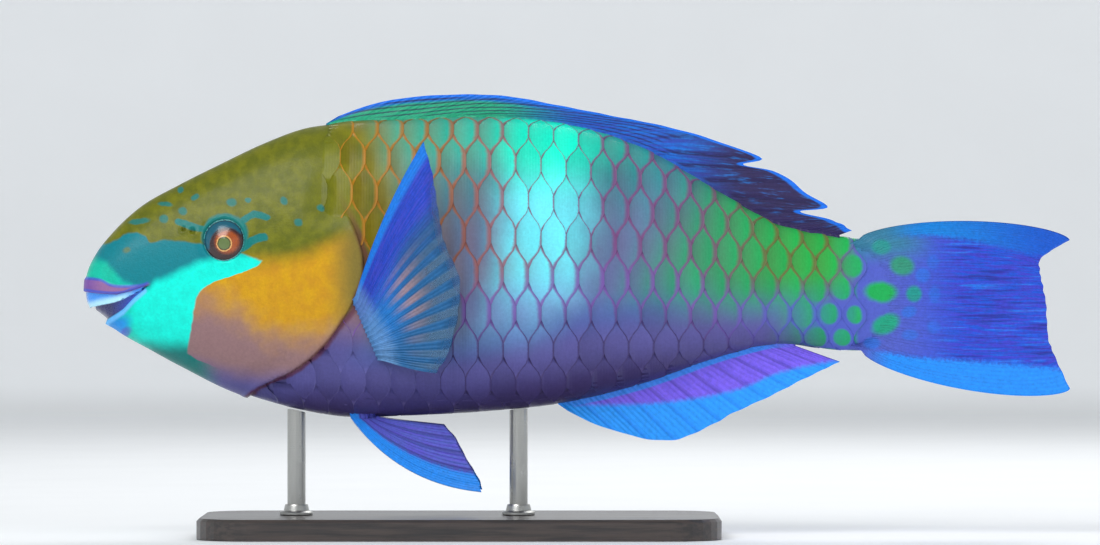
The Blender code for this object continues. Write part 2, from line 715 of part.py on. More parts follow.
def midline_fin(name, rows, rays, upward, surface, clearance):
    """A fin on the back or belly, whose rays leave the body's outline."""
    rows = np.asarray(rows, float)
    column = 1 if upward else 3
    places = np.array([place_of(x) for x in rows[:, 0]])
    heights = smooth_rows(SECTIONS, places)[:, column]
    zero = np.zeros(len(rows))
    roots = np.column_stack([rows[:, 0], zero, heights])
    tips = np.column_stack([rows[:, 1], zero, rows[:, 2]])
    sink = np.tile([0.0, 0.0, -MIDLINE_SINK if upward else MIDLINE_SINK], (2 * rays - 1, 1))
    fin = fin_sheet(name, roots, tips, zero, sink, rays, FIN_ROOT_HALF)
    combine(fin, clearance, "DIFFERENCE", keep_other=True)
    finish(fin, name, surface)


def make_tail_fin(surface, clearance):
    """The tail fin, spread behind the tail stalk and a little round its end."""
    rows = np.asarray(TAIL_ROWS)
    zero = np.zeros(len(rows))
    roots = np.column_stack([rows[:, 0], zero, rows[:, 1]])
    tips = np.column_stack([rows[:, 2], zero, rows[:, 3]])
    turn = np.linspace(1.0, -1.0, 2 * TAIL_RAYS - 1)
    sink = np.column_stack([0.0 * turn - TAIL_SINK[0], 0.0 * turn, -TAIL_SINK[1] * turn**3])
    fin = fin_sheet("tail_fin", roots, tips, rows[:, 4], sink, TAIL_RAYS, TAIL_ROOT_HALF)
    combine(fin, clearance, "DIFFERENCE", keep_other=True)
    finish(fin, "tail_fin", surface)


def make_pectoral_fins(tree, surface, clearance):
    """The fins on the sides, raised and spread."""
    rows = np.asarray(PECTORAL_ROWS)
    for side, name in ((-1, "pectoral_fin_left"), (1, "pectoral_fin_right")):
        skin = np.array([side_hit(tree, row[0], row[1], side)[0].y * 1000.0 / FISH_SCALE for row in rows])
        roots = np.column_stack([rows[:, 0], skin, rows[:, 1]])
        tips = np.column_stack([rows[:, 2], skin, rows[:, 3]])
        sink = np.tile([-PECTORAL_SINK[0], -side * PECTORAL_SINK[1], 0.0], (2 * PECTORAL_RAYS - 1, 1))
        fin = fin_sheet(name, roots, tips, rows[:, 4], sink, PECTORAL_RAYS, FIN_ROOT_HALF, side)
        combine(fin, clearance, "DIFFERENCE", keep_other=True)
        finish(fin, name, surface)


def make_pelvic_fins(surface, clearance):
    """The paired fins under the belly, spread a little to each side."""
    rows = np.asarray(PELVIC_ROWS)
    for side, name in ((-1, "pelvic_fin_left"), (1, "pelvic_fin_right")):
        out = side * np.linspace(*PELVIC_TIP_OUT, len(rows))
        roots = np.column_stack([rows[:, 0], np.full(len(rows), side * PELVIC_ROOT_OUT), rows[:, 1]])
        tips = np.column_stack([rows[:, 2], out, rows[:, 3]])
        sink = np.tile([-PELVIC_SINK[0], 0.0, PELVIC_SINK[1]], (2 * PELVIC_RAYS - 1, 1))
        fin = fin_sheet(name, roots, tips, rows[:, 4], sink, PELVIC_RAYS, FIN_ROOT_HALF)
        combine(fin, clearance, "DIFFERENCE", keep_other=True)
        finish(fin, name, surface)


def make_stand(base_surface, rod_surface, clearance):
    """A flat base with rounded corners, and two short rods up to the belly."""
    length, width, thick = BASE_SIZE
    rings = []
    for height, inset in ((0.0, 0.0), (thick - BASE_CHAMFER, 0.0), (thick, BASE_CHAMFER)):
        radius = BASE_CORNER - inset
        ring = []
        for corner in range(4):
            middle_x = (length / 2 - BASE_CORNER) * (1 if corner in (0, 3) else -1)
            middle_y = (width / 2 - BASE_CORNER) * (1 if corner in (0, 1) else -1)
            for turn in np.linspace(0.0, math.pi / 2, CORNER_POINTS) + corner * math.pi / 2:
                place = (middle_x + radius * math.cos(turn), middle_y + radius * math.sin(turn))
                ring.append((BASE_CENTRE_X + place[0], place[1], height - AXIS_HEIGHT))
        rings.append(ring)
    finish(tube("stand_base", np.array(rings)), "stand_base", base_surface)
    for name, x in ROD_PLACES.items():
        turns = np.linspace(0.0, 2 * math.pi, ROD_SIDES, endpoint=False)
        ring = np.column_stack([x + ROD_RADIUS * np.cos(turns), ROD_RADIUS * np.sin(turns), 0.0 * turns])
        foot = ring + np.array([0.0, 0.0, thick + GAP - AXIS_HEIGHT])
        top = ring + np.array([0.0, 0.0, ROD_TOP])
        rod = tube(name, np.array([foot, top]))
        combine(rod, clearance, "DIFFERENCE", keep_other=True)
        finish(rod, name, rod_surface)


def main():
    """Builds the fish from the snout to the tail, then its stand."""
    for old in list(bpy.data.objects):
        bpy.data.objects.remove(old, do_unlink=True)
    _, eyes = make_head(material("head_skin", (0.30, 0.27, 0.02), 0.35))
    make_eyes(eyes, material("eye", (0.20, 0.05, 0.01), 0.08))
    make_beak(material("tooth_plate", (0.10, 0.42, 0.85), 0.25))
    flank_skin = material("flank_skin", (0.02, 0.42, 0.38), 0.35)
    stalk_skin = material("stalk_skin", (0.04, 0.35, 0.12), 0.35)
    make_trunk(flank_skin, stalk_skin)
    clearance = clearance_body()
    tree = BVHTree.FromObject(clearance, bpy.context.evaluated_depsgraph_get())
    fin_blue = material("fin_blue", (0.02, 0.20, 0.85), 0.4)
    fin_violet = material("fin_violet", (0.16, 0.12, 0.62), 0.4)
    midline_fin("dorsal_fin", DORSAL_ROWS, DORSAL_RAYS, True, fin_blue, clearance)
    midline_fin("anal_fin", ANAL_ROWS, ANAL_RAYS, False, fin_violet, clearance)
    make_tail_fin(fin_violet, clearance)
    make_pectoral_fins(tree, fin_blue, clearance)
    make_pelvic_fins(fin_violet, clearance)
    base_surface = material("stand_base", (0.02, 0.02, 0.022), 0.45)
    rod_surface = material("stand_rod", (0.62, 0.62, 0.60), 0.3, 1.0)
    make_stand(base_surface, rod_surface, clearance)
    delete(clearance)


main()
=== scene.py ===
"""A life-size parrotfish on a plain stand, finished as a painted museum model.

The fish looks towards -X, its left side faces the camera at -Y and +Z is up. Shapes are worked out in
millimetres, with heights measured from the fish's axis, and turned into metres above the floor where a mesh
is made. The flesh is one skin under a coat of overlapping scales, and the fins are thin sheets.
"""

import logging
import math
from dataclasses import dataclass, field, replace
from enum import Enum
from functools import partialmethod

import bpy
import numpy as np
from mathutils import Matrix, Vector


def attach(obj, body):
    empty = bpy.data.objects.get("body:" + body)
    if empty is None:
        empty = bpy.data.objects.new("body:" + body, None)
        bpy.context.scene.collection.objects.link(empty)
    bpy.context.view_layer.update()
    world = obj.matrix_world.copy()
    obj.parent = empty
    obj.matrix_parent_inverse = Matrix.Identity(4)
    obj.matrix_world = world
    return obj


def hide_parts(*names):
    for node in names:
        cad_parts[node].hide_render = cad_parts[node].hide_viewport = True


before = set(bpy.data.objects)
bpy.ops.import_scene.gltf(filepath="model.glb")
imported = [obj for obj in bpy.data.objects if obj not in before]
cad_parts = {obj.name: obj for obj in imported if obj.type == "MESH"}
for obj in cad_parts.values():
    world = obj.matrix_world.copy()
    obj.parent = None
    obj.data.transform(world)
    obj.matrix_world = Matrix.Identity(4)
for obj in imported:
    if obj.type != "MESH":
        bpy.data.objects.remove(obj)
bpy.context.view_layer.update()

log = logging.getLogger("parrotfish")

Colour = tuple[float, float, float]
Pair = tuple[float, float]
Line = tuple[Pair, ...]
Band = tuple[float, float, float]
Array = np.ndarray
Material = bpy.types.Material
Piece = bpy.types.Object

BODY = "root"
AXIS_HEIGHT = 90.8


class Side(Enum):
    """The two sides of the fish, valued by the sign of Y."""

    LEFT = -1
    RIGHT = 1

    @property
    def word(self) -> str:
        """The side's name as the pieces use it."""
        return self.name.lower()


def metres(points: Array) -> Array:
    """Points of the fish's frame in millimetres as metres above the floor."""
    return (np.asarray(points, float) + np.array([0, 0, AXIS_HEIGHT])) * 0.001


def ease(value: Array) -> Array:
    """A smooth step from 0 to 1: 3v^2 - 2v^3, held flat outside."""
    value = np.clip(value, 0, 1)
    return value * value * (3 - 2 * value)


def step(value: Array, low: float, high: float) -> Array:
    """A smooth step from 0 at low to 1 at high."""
    return ease((value - low) / (high - low))


def bump(distance: Array, width: float) -> Array:
    """A bell of height 1 over a distance of 0: e to the power of minus (distance / width) squared."""
    return np.exp(-((distance / width) ** 2))


def soft_band(distance: Array, band: Band) -> Array:
    """A bell of a height at a place, with a width."""
    height, place, width = band
    return height * bump(distance - place, width)


def smooth_rows(rows: tuple, places: Array) -> Array:
    """Rows of a smooth curve through given rows.

    Rows are joined by cubics whose slopes are the central differences, and spaced by the straight distance
    between their first two columns.

    Args:
        rows: The rows the curve goes through.
        places: Places along the curve, from 0 to 1, of any shape.

    Returns:
        The rows at these places, on a last axis.
    """
    table = np.asarray(rows, float)
    steps = np.linalg.norm(np.diff(table[:, :2], axis=0), axis=1)
    knots = np.concatenate([[0], np.cumsum(steps)]) / steps.sum()
    slopes = np.gradient(table, knots, axis=0)
    places = np.clip(places, 0, 1)
    left = np.clip(np.searchsorted(knots, places, "right") - 1, 0, len(knots) - 2)
    width = (knots[left + 1] - knots[left])[..., None]
    part = (places - knots[left])[..., None] / width
    start = (1 + 2 * part) * (1 - part) ** 2 * table[left] + part * (1 - part) ** 2 * width * slopes[left]
    end = part**2 * (3 - 2 * part) * table[left + 1] + part**2 * (part - 1) * width * slopes[left + 1]
    return start + end


def curve(points: Line, count: int) -> Array:
    """Points of a smooth line through the given points, in even steps."""
    return smooth_rows(points, np.linspace(0, 1, count))


def height_on(line: Line, x: Array) -> Array:
    """The height at x of straight pieces through given points."""
    return np.interp(x, *np.transpose(line))


def distance_to(points: Array, line: Array) -> Array:
    """The shortest distance of side-view points from a line's straight pieces.

    Args:
        points: Points (x, height) on the last axis.
        line: The line's points, in order.

    Returns:
        A distance for each point.
    """
    best = np.full(points.shape[:-1], np.inf)
    for start, end in zip(line[:-1], line[1:]):
        span = end - start
        part = np.clip(((points - start) @ span) / (span @ span), 0, 1)
        best = np.minimum(best, np.linalg.norm(points - start - part[..., None] * span, axis=-1))
    return best


def unit(vectors: Array) -> Array:
    """Vectors on the last axis, each made one long."""
    return vectors / np.maximum(np.linalg.norm(vectors, axis=-1, keepdims=True), 1e-9)


def grid_faces(rows: int, columns: int, wrap: bool = False) -> Array:
    """Four-sided faces of a grid of points numbered row by row.

    Args:
        rows: How many rows.
        columns: How many points in a row.
        wrap: Whether the last column joins the first.

    Returns:
        Faces with four point numbers each.
    """
    index = np.arange(rows * columns).reshape(rows, columns)
    if wrap:
        index = np.concatenate([index, index[:, :1]], axis=1)
    near, far = index[:-1], index[1:]
    return np.stack([near[:, :-1], near[:, 1:], far[:, 1:], far[:, :-1]], axis=-1).reshape(-1, 4)


@dataclass
class Surface:
    """Points in millimetres and faces of a mesh in the making, with flat maps and values for each point.

    A face has four point numbers, and one that is there twice running makes it a triangle. Flat says which
    faces are shaded flat, where not all are smooth.
    """

    points: Array
    faces: Array
    maps: dict[str, Array] = field(default_factory=dict)
    values: dict[str, Array] = field(default_factory=dict)
    flat: Array | None = None

    def facing_out(self) -> "Surface":
        """The closed surface with its faces outwards, told by the sign of the volume that they hold."""
        a, b, c, d = (self.points[self.faces[:, corner]] for corner in range(4))
        volume = np.sum(a * (np.cross(b, c) + np.cross(c, d)))
        return self if volume > 0 else replace(self, faces=self.faces[:, ::-1])

    def mirrored(self) -> "Surface":
        """The same closed surface on the other side of the fish."""
        return replace(self, points=self.points * np.array([1, -1, 1])).facing_out()

    def build(self, name: str, material: Material, slot: str) -> Piece:
        """Makes the mesh and its object, which rides on the fish's one body.

        Args:
            name: The piece's name.
            material: Its finish.
            slot: The record's material slot; not used.

        Returns:
            The new object, at the origin.
        """
        mesh = bpy.data.meshes.new(name)
        mesh.vertices.add(len(self.points))
        mesh.vertices.foreach_set("co", metres(self.points).astype(np.float32).ravel())
        kept = self.faces != np.roll(self.faces, 1, axis=1)
        corners = self.faces[kept].astype(np.int32)
        starts = np.concatenate([[0], np.cumsum(kept.sum(axis=1))[:-1]]).astype(np.int32)
        mesh.loops.add(len(corners))
        mesh.loops.foreach_set("vertex_index", corners)
        mesh.polygons.add(len(self.faces))
        mesh.polygons.foreach_set("loop_start", starts)
        mesh.update(calc_edges=True)
        for label, flat in self.maps.items():
            layer = mesh.uv_layers.new(name=label)
            layer.data.foreach_set("uv", flat[corners].astype(np.float32).ravel())
        for label, value in self.values.items():
            attribute = mesh.attributes.new(label, "FLOAT", "POINT")
            attribute.data.foreach_set("value", value.astype(np.float32).ravel())
        mesh.validate()
        mesh.shade_smooth()
        if self.flat is not None:
            mesh.attributes.new("sharp_face", "BOOLEAN", "FACE").data.foreach_set("value", self.flat)
        mesh.materials.append(material)
        piece = bpy.data.objects.new(name, mesh)
        bpy.context.scene.collection.objects.link(piece)
        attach(piece, BODY)
        return piece


def sheet_between(near: Array, far: Array, values: dict[str, Array]) -> Surface:
    """A closed sheet: two grids of points alike, and a wall round their rims.

    Args:
        near: The points of one face.
        far: Those of the other.
        values: Single values by name, as grids.

    Returns:
        The closed surface, with the near points first.
    """
    rows, columns = near.shape[:2]
    index = np.arange(rows * columns).reshape(rows, columns)
    rim = np.concatenate([index[:, 0], index[-1, 1:], index[-2::-1, -1], index[0, -2:0:-1]])
    after, offset = np.roll(rim, -1), rows * columns
    front = grid_faces(rows, columns)
    wall = np.stack([after, rim, offset + rim, offset + after], axis=-1)
    surface = Surface(
        np.concatenate([near.reshape(-1, 3), far.reshape(-1, 3)]),
        np.concatenate([front, front[:, ::-1] + offset, wall]),
        values={name: np.tile(value.ravel(), 2) for name, value in values.items()},
        flat=np.repeat([False, True], [2 * len(front), len(wall)]),
    )
    return surface.facing_out()


def full_turn(count: int) -> Array:
    """Even angles round a circle, with the first not given again as the last."""
    return np.linspace(0, 2 * math.pi, count, endpoint=False)


def hoop(points: Array, flat: bool = False) -> Surface:
    """A closed ring from a grid of points, each row of which is a section, shaded flat or smooth."""
    rows, columns = points.shape[:2]
    faces = grid_faces(rows + 1, columns, wrap=True) % (rows * columns)
    sharp = np.ones(len(faces), bool) if flat else None
    return Surface(points.reshape(-1, 3), faces, flat=sharp).facing_out()


def tube(rings: Array, maps: dict[str, Array] | None = None) -> Surface:
    """A closed tube whose first and last rings shrink to one point each.

    Args:
        rings: A grid of points, ring by ring.
        maps: Flat maps by name, as grids of two values.

    Returns:
        The closed surface.
    """
    count, sides = rings.shape[:2]
    number = np.arange(count * sides).reshape(count, sides)
    number[0], number[-1] = number[0, 0], number[-1, 0]
    used, faces = np.unique(number.ravel()[grid_faces(count, sides, wrap=True)], return_inverse=True)
    surface = Surface(
        rings.reshape(-1, 3)[used],
        faces.reshape(-1, 4),
        {name: flat.reshape(-1, 2)[used] for name, flat in (maps or {}).items()},
    )
    return surface.facing_out()


@dataclass(frozen=True)
class BodyForm:
    """The smooth shape of the body, as sections from the snout to the end of the tail stalk.

    A row gives where a section meets the back (x, height) and the belly (x, height), its half width, and
    how high up it is widest. The last rows taper away within the tail fin.
    """

    sections: tuple = (
        (-189.3, 5.6, -189.3, 1.6, 2, 0.5), (-189, 8.4, -188.9, -0.6, 4.6, 0.5),
        (-188.1, 11.8, -187.8, -3.1, 7.2, 0.5), (-185, 18, -183.5, -6.9, 10.2, 0.49),
        (-178.5, 26.2, -175.8, -12.7, 12.8, 0.48), (-168.1, 35.8, -164.2, -19.2, 15.2, 0.47),
        (-152.7, 44.6, -152.7, -25.4, 17.8, 0.47), (-137.3, 52.3, -137.3, -32.7, 20.4, 0.47),
        (-121.2, 60, -121.9, -38.1, 22.6, 0.47), (-106.5, 65.6, -106.5, -42.3, 24.4, 0.47),
        (-89.2, 69, -89.2, -45, 25.5, 0.47), (-68.1, 69.8, -68.1, -44.7, 26, 0.47),
        (-37.3, 70.8, -37.3, -43.1, 25.8, 0.48), (-6.5, 68.6, -6.5, -39.9, 24.4, 0.48),
        (24.2, 59.6, 24.2, -32.7, 20.8, 0.48), (54.2, 42.6, 54.2, -22.4, 15.6, 0.49),
        (78.1, 29.6, 78.1, -17.3, 11.2, 0.5), (101.2, 25, 101.2, -19.6, 8, 0.5),
        (113, 23.4, 113, -19.4, 6, 0.5), (121, 19, 121, -16, 4, 0.5),
        (127, 15, 127, -12, 1.9, 0.5), (132, 11, 132, -8, 0.3, 0.5),
    )
    back_fullness: float = 0.96
    belly_fullness: float = 0.88
    girth_steps: int = 241

    def point(self, places: Array, turns: Array) -> Array:
        """Points of the skin.

        The height rises with the sine of the turn from the belly to the back, through the widest level, and
        the width falls off with a power of the cosine.

        Args:
            places: Places from the snout, 0, to the tail, 1.
            turns: Turns round the section, 0 at the right and a quarter turn at the back.

        Returns:
            Points (x, y, height) on a last axis.
        """
        rows = smooth_rows(self.sections, places)
        back, belly, half_width, level = rows[..., 0:2], rows[..., 2:4], rows[..., 4], rows[..., 5]
        sine, cosine = np.sin(turns), np.cos(turns)
        rise = np.where(sine > 0, level + (1 - level) * sine, level * (1 + sine))
        power = np.where(sine > 0, self.back_fullness, self.belly_fullness)
        across = half_width * np.sign(cosine) * np.abs(cosine) ** power
        along = belly + (back - belly) * rise[..., None]
        return np.stack([along[..., 0], across, along[..., 1]], axis=-1)

    def outward(self, places: Array, turns: Array, step: float = 1e-4) -> Array:
        """The skin's outward direction: the cross product of the lines round it and along it."""
        places = np.clip(places, step, 1 - step)
        along = self.point(places + step, turns) - self.point(places - step, turns)
        around = self.point(places, turns + step) - self.point(places, turns - step)
        return unit(np.cross(around, along))

    def place_of(self, x: Array) -> Array:
        """Places along the body whose sections meet the back at these x."""
        places = np.linspace(0, 1, 2000)
        return np.interp(x, smooth_rows(self.sections, places)[:, 0], places)

    def on_side(self, x: Array, height: Array) -> tuple[Array, Array]:
        """Where side-view points lie on the right side of the skin.

        The place is found by steps of Newton's rule, because a section near the snout leans.

        Args:
            x: How far along.
            height: How high above the axis.

        Returns:
            The points' places and turns.
        """
        places = self.place_of(x)
        near = 1e-4
        for _ in range(12):
            here, before, after = (self._under(places + away, height)[0] for away in (0, -near, near))
            slope = (after - before) / (2 * near)
            places = np.clip(places + 0.8 * (x - here) / np.maximum(slope, 60), 0, 1)
        _, share, level = self._under(places, height)
        sine = np.where(share > level, (share - level) / (1 - level), share / level - 1)
        return places, np.arcsin(np.clip(sine, -1, 1))

    def _under(self, places: Array, height: Array) -> tuple[Array, Array, Array]:
        """How far along the skin is at these places and heights, the height's share, and the widest level."""
        rows = smooth_rows(self.sections, places)
        share = np.clip((height - rows[..., 3]) / (rows[..., 1] - rows[..., 3]), 0, 1)
        return rows[..., 2] + (rows[..., 0] - rows[..., 2]) * share, share, rows[..., 5]

    def on_skin(self, x: Array, height: Array, side: Side) -> tuple[Array, Array]:
        """Points of one side of the skin, and their outward directions, from side-view points."""
        places, turns = self.on_side(np.asarray(x, float), np.asarray(height, float))
        mirror = np.array([1, side.value, 1])
        return self.point(places, turns) * mirror, self.outward(places, turns) * mirror

    def girth(self, places: Array) -> tuple[Array, Array, Array]:
        """Distances along one side of each section, from the belly to the back.

        Args:
            places: A flat array of places.

        Returns:
            The turns sampled, and the distances and heights at them for each place.
        """
        turns = np.linspace(-math.pi / 2, math.pi / 2, self.girth_steps)
        points = self.point(places[:, None], turns[None, :])
        steps = np.linalg.norm(np.diff(points, axis=1), axis=-1)
        lengths = np.concatenate([np.zeros((len(places), 1)), np.cumsum(steps, axis=1)], axis=1)
        return turns, lengths, points[..., 2]


@dataclass(frozen=True)
class HeadForm:
    """The relief of the head on the smooth body: mouth, lips, gill cover, eye sockets and nostrils."""

    upper_lip_top: Line = ((-191, 8.6), (-183.5, 7.9), (-176.5, 5.4), (-170, 5.4), (-164.5, 6.6))
    upper_lip_edge: Line = (
        (-196, 3.4), (-189.6, 3.4), (-183.5, 2.7), (-176.5, 2.3), (-171, 3.6), (-164.3, 6),
    )
    lower_lip_edge: Line = (
        (-190, -14), (-181.2, -8.8), (-174.5, -4.6), (-170, 0.2), (-166, 3.6), (-164.3, 5.2),
    )
    bite_edge: Line = (
        (-196, -3.4), (-188.2, -3.2), (-184, -2.2), (-176.5, -0.6), (-171.5, 1.5), (-166.5, 4.2),
    )
    mouth_corner: float = -163.5
    mouth_depth: float = 4.6
    lip_rise: float = 0.55
    lip_softness: float = 1.6
    lip_width: float = 2.3
    lip_taper: float = 8.0
    head_edge: Line = (
        (-103.5, 76), (-98, 58), (-91, 40), (-84.5, 27), (-81.4, 15.5), (-82, 5.8), (-86.2, -2.3),
        (-95, -15.8), (-108.5, -27.3), (-120.4, -32.7), (-133, -42),
    )
    gill_top: float = 30.0
    gill_blend: float = 12.0
    gill_swell: Band = (0.9, 0.0, 16.0)
    gill_lip: Band = (0.35, -1.2, 1.3)
    gill_trench: Band = (0.9, 0.9, 1.6)
    cheek_groove: Line = ((-113, 20), (-108.5, 4), (-108, -12), (-112.5, -23), (-124, -28.5))
    groove_band: Band = (0.35, 0.0, 2.6)
    eye_place: Pair = (-135, 23)
    eye_radius: float = 8.0
    socket_depth: float = 4.5
    eye_rim: Band = (0.5, 0.6, 1.5)
    nostrils: tuple = ((-150.7, 27.2, 0.75), (-147.2, 26.6, 1.05))
    nostril_rim: Band = (0.3, 0.35, 0.45)
    nostril_depth: float = 1.3
    coat_depth: float = 0.66
    nape: Pair = (-106, -92)

    def mouth_opening(self, side: Array) -> Array:
        """How far inside the open mouth side-view points lie, in millimetres, and below 0 outside it."""
        x, height = side[..., 0], side[..., 1]
        below = height_on(self.upper_lip_edge, x) - height
        above = (height - height_on(self.lower_lip_edge, x)) * 0.75
        return np.minimum(np.minimum(below, above), (self.mouth_corner - x) * 0.6)

    def behind_edge(self, side: Array) -> Array:
        """Signed distance behind the head's rear edge, below 0 on the head."""
        line = curve(self.head_edge, 60)
        edge_x = np.interp(side[..., 1], line[::-1, 1], line[::-1, 0])
        return distance_to(side, line) * np.sign(side[..., 0] - edge_x)

    def lips(self, side: Array) -> Array:
        """The soft bands of the two lips, from 0 to 1."""
        x, height = side[..., 0], side[..., 1]
        below_top = height_on(self.upper_lip_top, x) - height
        above_edge = height - height_on(self.upper_lip_edge, x) + self.lip_softness
        corner = ease((self.mouth_corner - x) / self.lip_taper)
        upper = ease(below_top / self.lip_softness + 0.5) * ease(above_edge / self.lip_softness)
        lower = bump(distance_to(side, curve(self.lower_lip_edge, 24)), self.lip_width)
        return np.maximum(upper, lower) * corner

    def coat_inset(self, side: Array) -> Array:
        """How deep the skin lies under the scales: full behind the gill cover, fading out over the nape."""
        behind = self.behind_edge(side)
        gill_part = ease((self.gill_top - side[..., 1]) / self.gill_blend + 0.5)
        sharp = ease(behind / 0.5 + 0.5)
        soft = step(side[..., 0], *self.nape)
        return self.coat_depth * (sharp * gill_part + soft * (1 - gill_part))

    def relief(self, side: Array) -> Array:
        """How far the skin stands out of the smooth body.

        The sum of soft bands round the mouth, the gill cover's edge and the eye, less the mouth, the eye
        sockets, the nostrils, the cheek's groove and the depth of the coat.

        Args:
            side: Side-view points (x, height) on the last axis.

        Returns:
            Millimetres along the outward direction.
        """
        behind = self.behind_edge(side)
        on_gill = ease((self.gill_top - side[..., 1]) / self.gill_blend + 0.5)
        on_head = ease(0.5 - behind / 0.5)
        gill = soft_band(behind, self.gill_swell) + soft_band(behind, self.gill_lip)
        trench = soft_band(behind, self.gill_trench) * (1 - on_head)
        groove = soft_band(distance_to(side, curve(self.cheek_groove, 16)), self.groove_band)
        from_eye = np.linalg.norm(side - np.array(self.eye_place), axis=-1) - self.eye_radius
        rim = soft_band(from_eye, self.eye_rim)
        socket = self.socket_depth * ease(-from_eye / 1.4 + 0.2)
        mouth = self.mouth_depth * ease(self.mouth_opening(side) / 1.5 + 0.1)
        total = self.lip_rise * self.lips(side) + (gill * on_head - trench) * on_gill + rim
        total = total - groove - socket - mouth - self.coat_inset(side)
        for x, height, radius in self.nostrils:
            from_pit = np.linalg.norm(side - np.array((x, height)), axis=-1) - radius
            total = total + soft_band(from_pit, self.nostril_rim)
            total = total - self.nostril_depth * ease(-from_pit / 0.5 + 0.5)
        return total


@dataclass(frozen=True)
class ScaleLattice:
    """Where the scales sit: rows counted from the scale line, each half a scale off the next."""

    body: BodyForm
    length: float = 9.6
    first_x: float = -124.0
    last_x: float = 121.0
    places_x: tuple = (-20, 45, 100)
    row_heights: tuple = (14.6, 12.6, 9.4)
    bars: tuple = (0.36, 0.24, 0.14)
    line: Line = ((-100, 13), (60, 6), (122, 3))
    rows: tuple[int, int] = (-8, 9)
    clear: float = 1.2

    def row_height(self, x: Array) -> Array:
        """The height of a row along the skin at x."""
        return np.interp(x, self.places_x, self.row_heights)

    def bar(self, x: Array) -> Array:
        """The share of a row's height that the upright rear edge of a scale takes at x."""
        return np.interp(x, self.places_x, self.bars)

    def locate(self, x: Array, rows: Array) -> tuple[Array, Array, Array]:
        """Places, turns and clearance on the skin for points given by x and row.

        The girth distance is that of the scale line plus the row times its height, kept a little away from
        the middle lines of the belly and the back.

        Args:
            x: A flat array of positions along the body.
            rows: Row numbers, with fractions between rows.

        Returns:
            Places and turns on the right side, and how far inside those limits the points would lie.
        """
        table_x = np.linspace(self.first_x - 20, self.last_x + 6, 260)
        places = self.body.place_of(table_x)
        turns, lengths, heights = self.body.girth(places)
        line_height = height_on(self.line, table_x)
        start = np.array([np.interp(h, z, s) for h, z, s in zip(line_height, heights, lengths)])
        shares = np.linspace(0, 1, 121)
        table = np.array([np.interp(shares, s / s[-1], turns) for s in lengths])
        whole = np.interp(x, table_x, lengths[:, -1])
        wanted = np.interp(x, table_x, start) + rows * self.row_height(x)
        inside = np.minimum(wanted - self.clear, whole - self.clear - wanted)
        share = np.clip(wanted, self.clear, whole - self.clear) / whole * (len(shares) - 1)
        along = np.clip((x - table_x[0]) / (table_x[1] - table_x[0]), 0, len(table_x) - 1.001)
        i, j = along.astype(int), np.clip(share.astype(int), 0, len(shares) - 2)
        a, b = along - i, share - j
        turn = (table[i, j] * (1 - a) + table[i + 1, j] * a) * (1 - b)
        turn = turn + (table[i, j + 1] * (1 - a) + table[i + 1, j + 1] * a) * b
        return np.interp(x, table_x, places), turn, inside

    def seats(self) -> Array:
        """Rear bars of all scales as (x, row), in order from the head to the tail."""
        rows = np.arange(*self.rows)
        count = int((self.last_x - self.first_x) / self.length)
        column, row = np.meshgrid(np.arange(count), rows, indexing="ij")
        x = self.first_x + (column + 0.5 * (row % 2)) * self.length
        return np.column_stack([x.ravel(), row.ravel().astype(float)])


def srgb(red: int, green: int, blue: int) -> Colour:
    """A screen colour, 0 to 255 a channel, as linear light."""
    shares = np.array([red, green, blue]) / 255
    linear = np.where(shares > 0.04045, ((shares + 0.055) / 1.055) ** 2.4, shares / 12.92)
    return tuple(float(value) for value in linear)


class Palette:
    """The fish's colours by name."""

    olive = srgb(112, 114, 14)
    olive_dark = srgb(92, 98, 12)
    leaf = srgb(98, 146, 96)
    orange = srgb(206, 156, 4)
    amber = srgb(190, 134, 22)
    tan = srgb(132, 114, 46)
    mauve = srgb(142, 110, 112)
    plum = srgb(88, 85, 149)
    navy = srgb(66, 56, 106)
    maroon = srgb(96, 40, 52)
    turquoise = srgb(0, 232, 212)
    jade = srgb(4, 186, 158)
    deep_teal = srgb(0, 122, 134)
    marking = srgb(6, 116, 112)
    azure = srgb(30, 138, 240)
    pale_azure = srgb(112, 190, 255)
    lip = srgb(146, 104, 150)
    lip_rim = srgb(58, 84, 190)
    # Dark navy painted as the shade inside the open mouth.
    mouth_dark = srgb(6, 18, 84)
    teal = srgb(36, 134, 138)
    slate = srgb(88, 114, 150)
    ice = srgb(104, 226, 238)
    sky = srgb(120, 184, 226)
    green = srgb(26, 154, 98)
    bright_green = srgb(16, 168, 70)
    periwinkle = srgb(62, 98, 166)
    violet = srgb(86, 80, 196)
    rust = srgb(160, 92, 22)
    rose = srgb(146, 84, 92)
    magenta = srgb(118, 62, 116)
    orchid = srgb(116, 76, 158)
    royal = srgb(8, 92, 224)
    umber = srgb(106, 94, 54)
    emerald = srgb(0, 232, 196)
    iris = srgb(78, 92, 188)
    grape = srgb(122, 96, 236)
    ink = srgb(22, 28, 92)
    lagoon = srgb(30, 112, 216)


Socket = bpy.types.NodeSocket
Value = "Signal | float | tuple"


